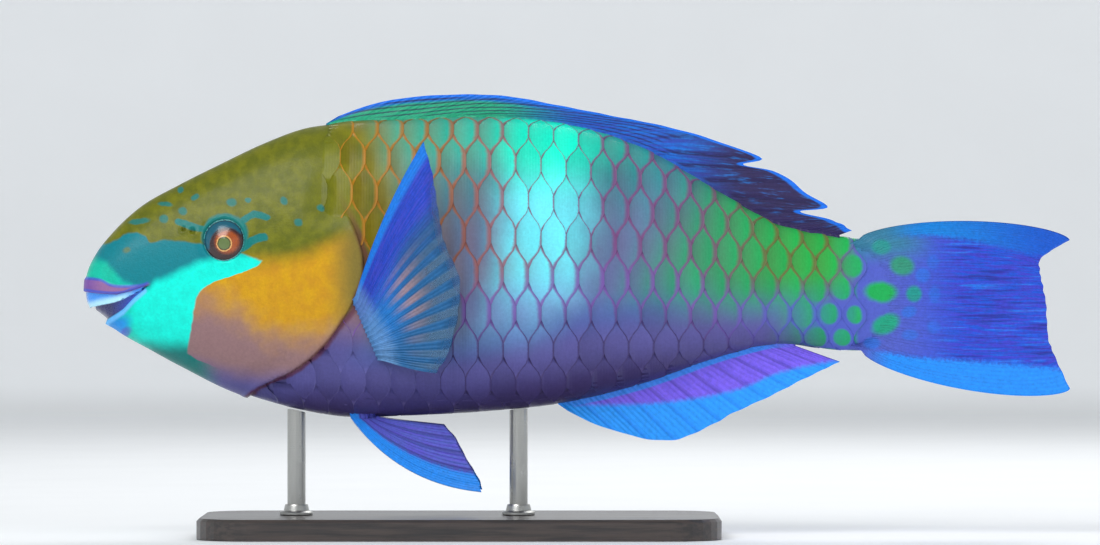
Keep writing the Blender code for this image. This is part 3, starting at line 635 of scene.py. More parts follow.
class Signal:
    """A value or colour that changes over a surface: a node's output, in sums written as usual."""

    def __init__(self, graph: "Graph", socket: Socket) -> None:
        """Holds an output of a node in a graph."""
        self.graph, self.socket = graph, socket

    def math(self, operation: str, *others: Value) -> "Signal":
        """The result of a sum on this value and up to two others."""
        return self.graph.run("Math", operation, self, *others)[0]

    __add__ = partialmethod(math, "ADD")
    __sub__ = partialmethod(math, "SUBTRACT")
    __mul__ = partialmethod(math, "MULTIPLY")
    __truediv__ = partialmethod(math, "DIVIDE")
    __abs__ = partialmethod(math, "ABSOLUTE")
    least = partialmethod(math, "MINIMUM")
    most = partialmethod(math, "MAXIMUM")
    sine = partialmethod(math, "SINE")

    def vector(self, operation: str, *others: Value) -> "Signal":
        """The result of a sum on vectors: the number for a length or a dot product, or else the vector."""
        number = operation in ("LENGTH", "DOT_PRODUCT", "DISTANCE")
        return self.graph.run("VectorMath", operation, self, *others)[1 if number else 0]

    def __rsub__(self, other: float) -> "Signal":
        """A number less this value."""
        return self.graph.run("Math", "SUBTRACT", other, self)[0]

    def split(self) -> list["Signal"]:
        """The three values of a vector."""
        return self.graph.run("SeparateXYZ", None, self)

    def rise(self, low: float, high: float) -> "Signal":
        """A smooth step from 0 at low to 1 at high, or the other way down where high is below low."""
        flip = float(high < low)
        ends = (min(low, high), max(low, high), flip, 1 - flip)
        return self.graph.run("MapRange", None, self, *ends, interpolation_type="SMOOTHSTEP")[0]

    def remap(self, low: float, high: float, first: float, last: float) -> "Signal":
        """A straight change of scale from low and high to first and last, held at its ends."""
        return self.graph.run("MapRange", None, self, low, high, first, last)[0]

    def mix(self, low: Value, high: Value) -> "Signal":
        """One colour turned into another where this mask is 1."""
        return self.graph.fill(self.graph.node("Mix", data_type="RGBA"), {0: self, 6: low, 7: high})[2]

    def blend(self, low: Value, high: Value) -> "Signal":
        """One number turned into another where this mask is 1."""
        return self.graph.fill(self.graph.node("Mix", data_type="FLOAT"), {0: self, 2: low, 3: high})[0]

    def tint(self, colour: Value) -> "Signal":
        """A colour made brighter or darker by this number."""
        made = self.graph.node("Mix", data_type="RGBA", blend_type="MULTIPLY")
        return self.graph.fill(made, {0: 1, 6: colour, 7: self.graph.join(self, self, self)})[2]

    def noise(self, scale: float, detail: float = 3.0, rough: float = 0.5) -> "Signal":
        """Soft cloudy noise round 0.5 over this place, at a scale per millimetre."""
        values = {"Vector": self, "Scale": scale, "Detail": detail, "Roughness": rough}
        return self.graph.fill(self.graph.node("TexNoise"), values)[0]

    def swirl(self, scale: float, amount: float) -> "Signal":
        """This place moved about by coloured noise, by up to about half the amount each way."""
        noise = self.graph.fill(self.graph.node("TexNoise"), {"Vector": self, "Scale": scale})[1]
        moved = noise.vector("SUBTRACT", (0.5, 0.5, 0.5)).vector("MULTIPLY", (amount, amount, amount))
        return self.vector("ADD", moved)

    def follow(self, points: Line) -> "Signal":
        """The height of a smooth line through given points at this value, flat past its ends."""
        table = np.array(sorted(points), float)
        low, high = table.min(axis=0), table.max(axis=0)
        shares = (table - low) / np.maximum(high - low, 1e-6)
        made = self.graph.node("FloatCurve")
        knots = made.mapping.curves[0].points
        knots[0].location, knots[1].location = shares[0], shares[-1]
        for share in shares[1:-1]:
            knots.new(*share)
        made.mapping.update()
        share = self.remap(low[0], high[0], 0, 1)
        return self.graph.fill(made, {"Value": share})[0] * float(high[1] - low[1]) + float(low[1])

    def ramp(self, stops: tuple) -> "Signal":
        """A colour that changes along this value, through stops of a value from 0 to 1 and a colour."""
        made = self.graph.node("ValToRGB")
        elements = made.color_ramp.elements
        for place, _ in stops[1:-1]:
            elements.new(place)
        for element, (place, colour) in zip(elements, stops):
            element.position, element.color = place, (*colour, 1)
        return self.graph.fill(made, {0: self})[0]

    def spot(self, centre: tuple, size: tuple, soft: float, lean: float = 0.0) -> "Signal":
        """The mask of an oval over this side-view place.

        The place from the oval's centre is turned by its lean and divided by its half sizes. The mask falls
        as the length of the result passes 1.

        Args:
            centre: The oval's centre (x, height).
            size: Half its length and half its height.
            soft: The width of its edge, as a share of its size.
            lean: The turn of its long axis, in degrees.

        Returns:
            The mask, 1 inside.
        """
        offset = self.vector("SUBTRACT", (centre[0], 0, centre[1]))
        cosine, sine = math.cos(math.radians(lean)), math.sin(math.radians(lean))
        u = offset.vector("DOT_PRODUCT", (cosine / size[0], 0, sine / size[0]))
        v = offset.vector("DOT_PRODUCT", (-sine / size[1], 0, cosine / size[1]))
        return self.graph.join(u, v, 0).vector("LENGTH").rise(1 + soft, 1 - soft)

    def stroke(self, points: Line, half_width: float, soft: float) -> "Signal":
        """The mask of a brush stroke along straight pieces over this place, with its edge's softness."""
        nearest = None
        for (x, height), (end_x, end_height) in zip(points[:-1], points[1:]):
            span = np.array([end_x - x, end_height - height])
            scaled = span / (span @ span)
            offset = self.vector("SUBTRACT", (x, 0, height))
            part = offset.vector("DOT_PRODUCT", (scaled[0], 0, scaled[1]))
            part = part.least(1).most(0)
            reach = self.graph.join(part, 0, part).vector("MULTIPLY", (span[0], 0, span[1]))
            distance = offset.vector("DISTANCE", reach)
            nearest = distance if nearest is None else nearest.least(distance)
        return nearest.rise(half_width + soft, half_width - soft)


class Graph:
    """A shader node tree built by short calls."""

    def __init__(self, tree: bpy.types.NodeTree) -> None:
        """Starts on an empty or a new tree."""
        self.tree = tree

    def node(self, kind: str, **settings: object) -> bpy.types.Node:
        """Adds a node of a kind, such as Math, with some of its settings."""
        made = self.tree.nodes.new("ShaderNode" + kind)
        for name, value in settings.items():
            setattr(made, name, value)
        return made

    def feed(self, socket: Socket, value: Value) -> None:
        """Links a value to an input socket, or sets the socket to a number or a colour."""
        if isinstance(value, Signal):
            self.tree.links.new(value.socket, socket)
        elif isinstance(value, (tuple, list)) and socket.type == "RGBA":
            socket.default_value = (*value[:3], 1.0)
        else:
            socket.default_value = value

    def fill(self, made: bpy.types.Node, values: dict[int | str, Value]) -> list[Signal]:
        """Feeds a node's inputs by number or name, and gives its outputs."""
        for place, value in values.items():
            self.feed(made.inputs[place], value)
        return [Signal(self, output) for output in made.outputs]

    def run(self, kind: str, operation: str | None, *values: Value, **settings: object) -> list[Signal]:
        """Adds a node whose first inputs take these values, and gives its outputs."""
        if operation:
            settings["operation"] = operation
        return self.fill(self.node(kind, **settings), dict(enumerate(values)))

    def value(self, label: str) -> Signal:
        """One of the mesh's own values."""
        return self.read("Attribute", "Fac", attribute_name=label)

    def join(self, x: Value, y: Value, z: Value) -> Signal:
        """A vector from three values."""
        return self.run("CombineXYZ", None, x, y, z)[0]

    def read(self, kind: str, output: str, **settings: object) -> Signal:
        """An output of a new node that has no inputs to feed, such as the mesh's own coordinates."""
        return Signal(self, self.node(kind, **settings).outputs[output])


class Group:
    """A shader node group with named inputs and outputs, built once and placed where it is used."""

    def __init__(self, name: str, inputs: dict[str, Value], outputs: dict[str, str]) -> None:
        """Makes the empty group.

        Args:
            name: The group's name.
            inputs: Default values by name, a number or a colour.
            outputs: The sockets' kinds by name.
        """
        self.tree = bpy.data.node_groups.new(name, "ShaderNodeTree")
        self.graph = Graph(self.tree)
        for label, value in inputs.items():
            kind = "NodeSocketColor" if isinstance(value, tuple) else "NodeSocketFloat"
            socket = self.tree.interface.new_socket(label, in_out="INPUT", socket_type=kind)
            socket.default_value = (*value, 1.0) if isinstance(value, tuple) else value
        for label, kind in outputs.items():
            self.tree.interface.new_socket(label, in_out="OUTPUT", socket_type=kind)
        source = self.tree.nodes.new("NodeGroupInput")
        self.inputs = {label: Signal(self.graph, source.outputs[label]) for label in inputs}
        self.outputs = self.tree.nodes.new("NodeGroupOutput").inputs

    def give(self, label: str, value: Signal) -> None:
        """Links a value to one of the group's outputs."""
        self.graph.feed(self.outputs[label], value)

    def place(self, graph: Graph, **values: Value) -> dict[str, Signal]:
        """Puts the group in a material with some of its inputs, and gives its outputs by name."""
        made = graph.node("Group")
        made.node_tree = self.tree
        return {output.socket.name: output for output in graph.fill(made, values)}


COLOUR, NUMBER = "NodeSocketColor", "NodeSocketFloat"


def fish_place(graph: Graph) -> list[Signal]:
    """The place on the fish in millimetres, and its parts: along, out to a side, and up from the axis."""
    place = graph.read("TexCoord", "Object").vector("MULTIPLY", (1000, 1000, 1000))
    place = place.vector("SUBTRACT", (0, 0, AXIS_HEIGHT))
    return [place, *place.split()]


class Coating(Graph):
    """The graph of a new material, whose main shader is linked to its output."""

    def __init__(self, name: str) -> None:
        """Makes the material with nothing but the shader."""
        self.made = bpy.data.materials.new(name)
        self.made.use_nodes = True
        super().__init__(self.made.node_tree)
        self.tree.nodes.clear()
        self.shader = self.node("BsdfPrincipled")
        self.tree.links.new(self.shader.outputs[0], self.node("OutputMaterial").inputs[0])

    def finish(
        self, colour: Value, rough: Value, relief: Value, depth: float,
        specular: float = 0.5, coat: Pair = (0.0, 0.03),
    ) -> Material:
        """Gives the shader its values.

        Args:
            colour: The base colour.
            rough: The roughness.
            relief: The bump's height.
            depth: What a height of 1 stands for, in millimetres.
            specular: The mirror's strength.
            coat: The clear coat's weight and roughness.

        Returns:
            The material.
        """
        values = {"Strength": 1, "Distance": depth * 0.001, "Height": relief}
        bump = self.fill(self.node("Bump"), values)[0]
        shine = {"Specular IOR Level": specular, "Coat Weight": coat[0], "Coat Roughness": coat[1]}
        self.fill(self.shader, {"Base Color": colour, "Roughness": rough, "Normal": bump} | shine)
        return self.made


def spotted(x: Signal, height: Signal) -> Signal:
    """The stalk's end: violet-blue skin with green spots, then blue ones, at places seen on the fish."""
    p, flat = Palette, x.graph.join(x, 0, height)
    colour = x.rise(118, 142).mix(p.iris, srgb(62, 84, 200))
    corner = height.rise(12, 22) * x.rise(142, 122) * 0.7
    colour = corner.mix(colour, p.teal)
    for centre, size, lean, tint, strength in (
        ((105.8, 13.4), (4.4, 4.4), 0, p.bright_green, 0.95),
        ((105.6, -6.4), (4.2, 4.9), 0, p.bright_green, 0.95),
        ((116.8, 3), (6, 3.7), 0, p.bright_green, 0.95),
        ((129.6, 2.4), (2.9, 3), 0, srgb(16, 150, 128), 0.9),
        ((118.6, -9.2), (5.4, 3.6), 25, srgb(20, 158, 118), 0.95),
        ((125, 13.2), (4.6, 3.6), -10, srgb(40, 150, 96), 0.85),
        ((117, 20.4), (3.6, 2.8), 0, srgb(24, 150, 130), 0.7),
        ((113.4, -16.6), (3.2, 2.2), 0, p.lagoon, 0.7),
        ((127.6, -4.6), (3, 2.2), 20, p.lagoon, 0.6),
        ((133, 9.6), (2.8, 2.8), 0, p.lagoon, 0.6),
        ((137.6, 2.2), (2.2, 3.2), 0, p.lagoon, 0.6),
        ((137, 14.6), (2.4, 2.8), 0, p.lagoon, 0.5),
        ((137.4, -10.4), (2.6, 2.6), 0, p.lagoon, 0.5),
        ((128, -13.4), (3.2, 2), 0, p.lagoon, 0.5),
    ):
        colour = (flat.spot(centre, size, 0.32, lean) * strength).mix(colour, tint)
    return colour


class BodyPaint:
    """The colours of the body, which the skin and the scales share, as one node group.

    Zones are laid over one another. Each zone's mask is a soft step beside a line, an oval or a brush stroke
    in the side view, in millimetres.
    """

    snout_top: Line = (
        (-192, 19.5), (-184.6, 20.8), (-176.2, 23.5), (-170.8, 25.6), (-165.4, 24.6), (-162.7, 21.9),
        (-158.5, 23.1), (-151.9, 22.5), (-143.8, 21.5), (-131, 19), (-125, 16.9), (-118, 14), (-110, 8),
    )
    snout_rear: Line = (
        (-50, -128), (-32, -131), (-27, -136), (-24.5, -141), (-22, -147.5), (-19.6, -149.2), (-15, -148.5),
        (-7.7, -146.9), (-2.3, -146.2), (2.3, -145), (5.5, -141.5), (7.3, -138.5), (9.6, -130.4),
        (12, -124.5), (15, -120.4), (20, -118),
    )
    bright_top: Line = (
        (-192, 15.5), (-184, 15.5), (-178, 12), (-172, 6), (-166, 4), (-162, 6.5), (-157, 8.8),
        (-150.5, 12), (-141.4, 15.4), (-130, 17.5), (-118, 17.5),
    )
    cheek_top: Line = ((-150, 12), (-128, 15), (-112, 15.5), (-100, 19), (-90, 25), (-80, 30))
    mauve_top: Line = ((-150, 2), (-138, 0), (-127, -5), (-114, -12), (-98, -12), (-84, -2))
    throat_top: Line = ((-160, -20), (-140, -25.5), (-120, -29), (-104, -28), (-90, -24))
    spots: tuple = (
        ((-158.1, 36.9), (2.9, 1.1), -4), ((-152.3, 42.3), (1.3, 1), 0), ((-146.2, 39.6), (1.5, 1.2), 20),
        ((-151.2, 34.2), (1.6, 1.4), 0), ((-158.5, 31.2), (1.8, 1.5), 0), ((-168.1, 30.4), (4, 1.1), 4),
        ((-132.3, 37.7), (1.9, 1.5), -20), ((-125.8, 38.5), (1.3, 1), 0), ((-112.3, 37.7), (1.5, 1.4), 0),
        ((-106.5, 29.6), (1.6, 1.3), 30), ((-98, 35), (1.7, 1.3), -30),
    )
    streaks: tuple = (
        (((-152.6, 29.9), (-148.5, 28.5), (-142, 26.8)), 1.35),
        (((-130, 28.5), (-123.6, 33.2), (-118.6, 32)), 1.3),
        (((-127.5, 20.2), (-124.4, 22.6), (-119.2, 24)), 1.5),
    )
    eye_cap: tuple = ((-134.6, 24.6), (9, 8.6))

    def __init__(self, head: HeadForm) -> None:
        """Builds the group for a head's form."""
        outputs = {"Skin": COLOUR, "Margin": COLOUR, "Margin Width": NUMBER, "Cell": NUMBER, "Fleck": NUMBER}
        self.head = head
        self.group = Group("body_paint", {}, outputs)
        place = fish_place(self.group.graph)[0]
        self.x, _, self.height = place.swirl(0.16, 2.2).split()
        self.flat = self.group.graph.join(self.x, 0, self.height)
        self.cloud = place.noise(0.11, 2)
        grain = place.noise(0.9, 4, 0.65)
        skin = self._mouth(self._head(self._flank()), place)
        self.group.give("Skin", grain.remap(0.3, 0.7, 0.92, 1.08).tint(skin))
        self._margins()
        self.group.give("Fleck", grain)

    def _flank(self) -> Signal:
        """The body behind the head: olive, teal, a bright band, green, and violet towards the tail."""
        p, x, height, cloud = Palette, self.x, self.height, self.cloud
        colour = height.rise(55, 20).mix(p.teal, p.slate)
        rear = (x + height * -0.55).rise(4, 40)
        green = x.rise(45, 95).mix(p.green, p.bright_green)
        colour = rear.mix(colour, green)
        band_middle = height.follow(((-24, -34), (-8, -24), (8, -15), (45, -12), (68, -14)))
        off_band = abs(x - band_middle)
        band = (off_band + cloud * 8).rise(31, 9)
        shine = height.rise(58, 34).mix(p.emerald, p.ice)
        shine = height.rise(14, -8).mix(shine, p.sky)
        ridge = height.rise(44, 62) * x.rise(-85, -60) * x.rise(40, 10)
        colour = (ridge * 0.8).mix(colour, p.jade)
        front = (x + height * 0.25).rise(-34, -74)
        tan = height.rise(48, 10).mix(p.leaf, p.tan)
        colour = (front * 0.85).mix(colour, tan)
        front = (x + height * 0.35).rise(-44, -66)
        nape = cloud.rise(0.35, 0.65).mix(p.olive, p.olive_dark)
        colour = front.mix(colour, nape)
        low = x.follow(((-95, -14), (-60, -16), (-20, -8), (30, 0), (70, 2), (122, 6)))
        under = height - low
        colour = under.rise(10, -10).mix(colour, x.rise(20, 60).mix(p.periwinkle, p.green))
        colour = (under.rise(4, -14) * x.rise(96, 70)).mix(colour, p.plum)
        colour = (band * height.rise(-26, 8)).mix(colour, shine)
        deep = under.rise(-12, -30) * x.rise(104, 84)
        colour = deep.mix(colour, p.navy)
        return x.rise(105.5, 108.5).mix(colour, spotted(x, height))

    def _head(self, flank: Signal) -> Signal:
        """The head's olive, orange and mauve, with its turquoise snout and markings."""
        p, x, height, flat = Palette, self.x, self.height, self.flat
        shade = flat.noise(0.22, 3)
        olive = shade.rise(0.35, 0.68).mix(p.olive_dark, p.olive)
        under = height - x.follow(self.cheek_top)
        orange = shade.rise(0.15, 0.85).mix(p.amber, p.orange)
        orange = x.rise(-98, -84).mix(orange, p.tan)
        orange = x.rise(-134, -146).mix(orange, p.amber)
        colour = under.rise(5, -5).mix(olive, orange)
        under = height - x.follow(self.mauve_top) + (self.cloud - 0.5) * 16
        colour = under.rise(9, -12).mix(colour, p.mauve)
        under = height - x.follow(self.throat_top)
        colour = under.rise(5, -6).mix(colour, p.plum)
        line = curve(self.head.head_edge, 12)
        gill_x = height.follow(tuple((h, edge_x) for edge_x, h in line))
        behind = x - gill_x
        low_gill = height.rise(44, 20)
        on_flank = low_gill.blend(x.rise(-112, -84), behind.rise(-0.4, 0.6))
        breast = height.rise(-20, -2).mix(p.plum, p.mauve)
        near = behind.rise(26, 6) * height.rise(10, -8)
        flank = near.mix(flank, breast)
        # A maroon line along the gill cover's edge: partly its own colour, partly painted shade of the step
        # there.
        gill_seam_colour_and_shade = abs(behind - 0.6).rise(2.6, 0.3) * low_gill
        colour = on_flank.mix(colour, flank)
        colour = (gill_seam_colour_and_shade * 0.75).mix(colour, p.maroon)
        in_front = (x - height.follow(self.snout_rear)).rise(0.5, -0.5)
        below = (height - x.follow(self.snout_top)).rise(0.6, -0.6)
        low_chin = x.rise(-147, -135) * height.rise(-14, -23)
        snout = in_front * below * (1 - low_chin)
        shine = height - x.follow(self.bright_top)
        bright = x.rise(-166, -178).mix(p.turquoise, p.jade)
        bright = shade.remap(0.3, 0.7, 0.9, 1.08).tint(bright)
        teal = shine.rise(2.4, -2.4).mix(p.deep_teal, bright)
        teal = height.rise(-13, -21).mix(teal, p.marking)
        blue_chin = flat.spot((-177.5, -11), (6.5, 3.6), 0.5, 30)
        teal = (blue_chin * 0.85).mix(teal, p.azure)
        violet_chin = flat.spot((-173.3, -12.2), (2.6, 1.6), 0.4, 20)
        teal = (violet_chin * 0.7).mix(teal, p.violet)
        fleck = flat.spot((-172.5, 19.2), (1.5, 1.1), 0.5)
        teal = (fleck * 0.6).mix(teal, p.olive)
        colour = snout.mix(colour, teal)
        marks = flat.spot(*self.eye_cap, 0.08)
        for points, half_width in self.streaks:
            marks = marks.most(flat.stroke(points, half_width, 0.35))
        for centre, size, lean in self.spots:
            marks = marks.most(flat.spot(centre, size, 0.3, lean) * 0.85)
        return marks.mix(colour, p.marking)

    def _mouth(self, skin: Signal, place: Signal) -> Signal:
        """The lips, their blue rims and the painted shade inside the mouth."""
        p, head = Palette, self.head
        x, _, height = place.split()
        flat = x.graph.join(x, 0, height)
        above = height - x.follow(head.upper_lip_top)
        below = height - x.follow(head.upper_lip_edge)
        ahead = x.rise(-163, -165)
        band = above.rise(0.3, -0.3) * below.rise(-0.6, -0.2) * ahead
        lip = x.rise(-180, -190).mix(p.lip, p.orchid)
        colour = band.mix(skin, lip)
        top_rim = abs(above).rise(0.9, 0.25)
        low_rim = abs(below - 0.5).rise(0.8, 0.3)
        colour = (top_rim.most(low_rim) * ahead * 0.8).mix(colour, p.lip_rim)
        lower = flat.stroke(head.lower_lip_edge[1:-1], 1.25, 0.6)
        colour = (lower * 0.9).mix(colour, p.pale_azure)
        rise = height - x.follow(head.lower_lip_edge)
        # Painted shade: the recess between the lips is coloured dark navy.
        inside = below.rise(-0.3, -1.3) * rise.rise(0.4, 1.6) * ahead
        return inside.mix(colour, p.mouth_dark)

    def _margins(self) -> None:
        """The colour and the width of the scales' edges, and how much of a scale its middle fills."""
        p, x, height = Palette, self.x, self.height
        colours = (p.amber, p.rust, p.rose, p.magenta, p.magenta, p.umber, p.umber, p.iris)
        stops = zip((0, 0.24, 0.33, 0.45, 0.66, 0.78, 0.88, 0.94), colours)
        colour = x.remap(-110, 125, 0, 1).ramp(tuple(stops))
        low = x.follow(((-90, 0), (-30, 6), (20, 14), (70, 3), (120, 6)))
        under = (height - low).rise(8, -8)
        colour = under.mix(colour, x.rise(40, 90).mix(p.orchid, p.iris))
        deep = (height - low).rise(-10, -26)
        colour = (deep * x.rise(100, 80)).mix(colour, p.navy)
        self.group.give("Margin", colour)
        band = abs(x + 9).rise(24, 10)
        faint = band * height.rise(12, 26)
        width = faint.blend(1, 0.3)
        width = width * x.rise(-97, -84) * x.rise(-130, -55)
        breast = x.rise(-34, -62) * height.rise(0, -16)
        width = width * deep.blend(1, 0.4) * breast.blend(1, 0.2)
        self.group.give("Margin Width", width)
        stalk = (x + under * 15).rise(86, 124)
        self.group.give("Cell", stalk + self.cloud * 0.1)


@dataclass(frozen=True)
class SkinFinish:
    """The painted flesh: the body's colours under a clear gloss, with fine pores."""

    paint: BodyPaint
    roughness: float = 0.42
    specular: float = 0.2
    coat: Pair = (0.09, 0.14)
    pore_scale: float = 1.5
    pore_depth: float = 0.09

    def material(self, name: str) -> Material:
        """The finish as a material of the given name."""
        graph = Coating(name)
        paint, place = self.paint.group.place(graph), fish_place(graph)[0]
        cells = graph.node("TexVoronoi", feature="SMOOTH_F1")
        pores = graph.fill(cells, {"Vector": place, "Scale": self.pore_scale})[0]
        rough = place.noise(0.35, 4).remap(0.3, 0.7, self.roughness - 0.06, self.roughness + 0.08)
        relief = pores * 0.7 + paint["Fleck"] * 0.5
        return graph.finish(paint["Skin"], rough, relief, self.pore_depth, self.specular, self.coat)


@dataclass
class Skin:
    """The fish's flesh as one closed skin, from the lips to the tail stalk."""

    body: BodyForm
    head: HeadForm
    finish: SkinFinish
    snout_end: float = 46.0
    head_end: float = 142.0
    blends: Pair = (12, 14)
    ring_steps: tuple[float, float, float] = (0.37, 0.52, 2.5)
    half_turns: int = 121
    crowd_turn: float = 8.0
    crowd_width: float = 26.0
    crowd_gain: float = 1.6
    edge_reach: float = 2.2
    edge_power: float = 1.9
    cap_rings: int = 5

    def _places(self) -> Array:
        """Places of the rings, close together on the snout and the head: the sum of steps to each ring."""
        table = np.asarray(self.body.sections, float)
        length = np.linalg.norm(np.diff(table[:, :2], axis=0), axis=1).sum()
        along = np.linspace(0, length, 4000)
        fine, head, trunk = self.ring_steps
        blend_in = ease((along - self.snout_end) / self.blends[0])
        blend_out = ease((along - self.head_end) / self.blends[1])
        density = (1 - blend_in) / fine + blend_in * (1 - blend_out) / head + blend_out / trunk
        rings = np.concatenate([[0], np.cumsum((density[1:] + density[:-1]) / 2 * np.diff(along))])
        return np.interp(np.linspace(0, rings[-1], int(rings[-1])), rings, along) / length

    def _turns(self) -> Array:
        """Turns round a ring, crowded at the level of the mouth on both sides."""
        angles = np.linspace(-90, 90, 1441)
        density = 1 + self.crowd_gain * bump(angles - self.crowd_turn, self.crowd_width)
        total = np.concatenate([[0], np.cumsum((density[1:] + density[:-1]) / 2)])
        half = np.interp(np.linspace(0, total[-1], self.half_turns), total, angles)
        return np.radians(np.concatenate([half, 180 - half[-2:0:-1]]))

    def surface(self) -> Surface:
        """The skin's surface.

        Rings of the smooth body are moved along its outward direction by the head's relief. Points near
        the gill cover's edge are first drawn towards it by a power of their distance, so that the step there
        is sharp. The front ring closes in rings that shrink to its middle.

        Returns:
            The closed surface.
        """
        places, turns = np.meshgrid(self._places(), self._turns(), indexing="ij")
        base = self.body.point(places, turns)
        behind = self.head.behind_edge(base[..., [0, 2]])
        share = np.minimum(np.abs(behind) / self.edge_reach, 1)
        drawn = np.sign(behind) * self.edge_reach * share**self.edge_power
        moved = np.where(share < 1, drawn - behind, 0)
        low = ease((self.head.gill_top + 6 - base[..., 2]) / 8) * ease((base[..., 2] + 38) / 6)
        slope = np.gradient(base[..., 0], axis=0) / np.gradient(places, axis=0)
        places = places + moved * low / np.maximum(slope, 100)
        base, outward = self.body.point(places, turns), self.body.outward(places, turns)
        rings = base + outward * self.head.relief(base[..., [0, 2]])[..., None]
        middle = rings[0].mean(axis=0) - np.array([0.15, 0, 0])
        shares = np.linspace(0, 1, self.cap_rings, endpoint=False)[:, None, None]
        cap = middle + (rings[0] - middle) * shares
        end = np.broadcast_to(rings[-1].mean(axis=0), rings[-1:].shape)
        return tube(np.concatenate([cap, rings, end]))

    def build(self) -> Piece:
        """Makes the skin, which stands for the three solids of flesh."""
        skin = self.surface().build("skin", self.finish.material("painted skin"), "flank_skin")
        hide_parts("head", "torso", "tail_stalk")
        return skin


@dataclass(frozen=True)
class ScaleFinish:
    """The scales: a clear-coated plate with a coloured rear edge, broken up by a fine grain."""

    paint: BodyPaint
    lattice: ScaleLattice
    bar_width: float = 1.75
    side_width: float = 0.85
    roughness: float = 0.38
    specular: float = 0.2
    coat: Pair = (0.09, 0.16)
    ridge_scale: float = 5.72
    ridge_depth: float = 0.07

    def marks(self) -> Group:
        """A node group that draws one scale from its own coordinates.

        The rear edge lies half a scale's length times a smooth step of the distance past the upright bar.
        The distance in front of it gives the edge's band, which is wider at the bar than at the sides.

        Returns:
            The group, with the masks of the edge's band, the middle cell and the ridges, and a ramp towards
            the front for a tint that is partly painted shade.
        """
        own = {"Back": 0, "Across": 0, "Bar": 0.4, "Row": 12.0}
        outputs = dict.fromkeys(("Margin", "Spot", "Ridge", "Depth"), NUMBER)
        group = Group("scale_marks", own | {"Width": 1, "Cell": 0, "Grain": 0.5}, outputs)
        back, across, bar, row, wide, cell, grain = group.inputs.values()
        across = abs(across / row)
        past = ((across - bar * 0.5) / (1 - bar)).rise(0, 1)
        side = past.rise(0.02, 0.25)
        edge = past * 0.5 * self.lattice.length
        rough = (grain - 0.5) * 0.9
        inward = (back - edge + rough) * side.blend(1, 0.74)
        width = side.blend(self.bar_width, self.side_width) * wide
        margin = 1 - (inward / width.most(0.05)).rise(0.4, 1.5)
        group.give("Margin", margin * wide.rise(0.02, 0.2))
        along = (back - 0.46 * self.lattice.length) / cell.blend(5.4, 3.3)
        off = across / cell.blend(0.66, 0.38)
        reach = group.graph.join(along, off, 0).vector("LENGTH") + rough * 0.12
        group.give("Spot", reach.rise(1.15, 0.8))
        lines = (back * self.ridge_scale).sine()
        group.give("Ridge", lines * 0.16 + grain * 0.6)
        # A ramp from the rear edge to the front, for a tint that is partly the colour of the scale's edge and
        # partly painted shade under the scale in front.
        group.give("Depth", back.rise(0, self.lattice.length))
        return group

    def material(self, name: str) -> Material:
        """The finish as a material of the given name."""
        graph = Coating(name)
        paint = self.paint.group.place(graph)
        margin, width = paint["Margin"], paint["Margin Width"]
        own = {label: graph.value(label) for label in ("Back", "Across", "Bar", "Row")}
        grain = fish_place(graph)[0].noise(1.1, 4, 0.7)
        marks = self.marks().place(graph, **own, Width=width, Cell=paint["Cell"], Grain=grain)
        middle = graph.value("Chance").remap(0, 1, 0.88, 1.12).tint(paint["Skin"])
        # Partly painted shade: the front of each scale, under the edge of the scale in front, turns towards
        # the margin colour.
        middle = (marks["Depth"] * 0.3 * width).mix(middle, margin)
        round_spot = (1 - marks["Spot"]) * paint["Cell"].rise(0.15, 0.9)
        colour = (marks["Margin"] * 0.86).mix(round_spot.mix(middle, margin), margin)
        rough = grain.remap(0.3, 0.7, self.roughness - 0.06, self.roughness + 0.1)
        return graph.finish(colour, rough, marks["Ridge"], self.ridge_depth, self.specular, self.coat)


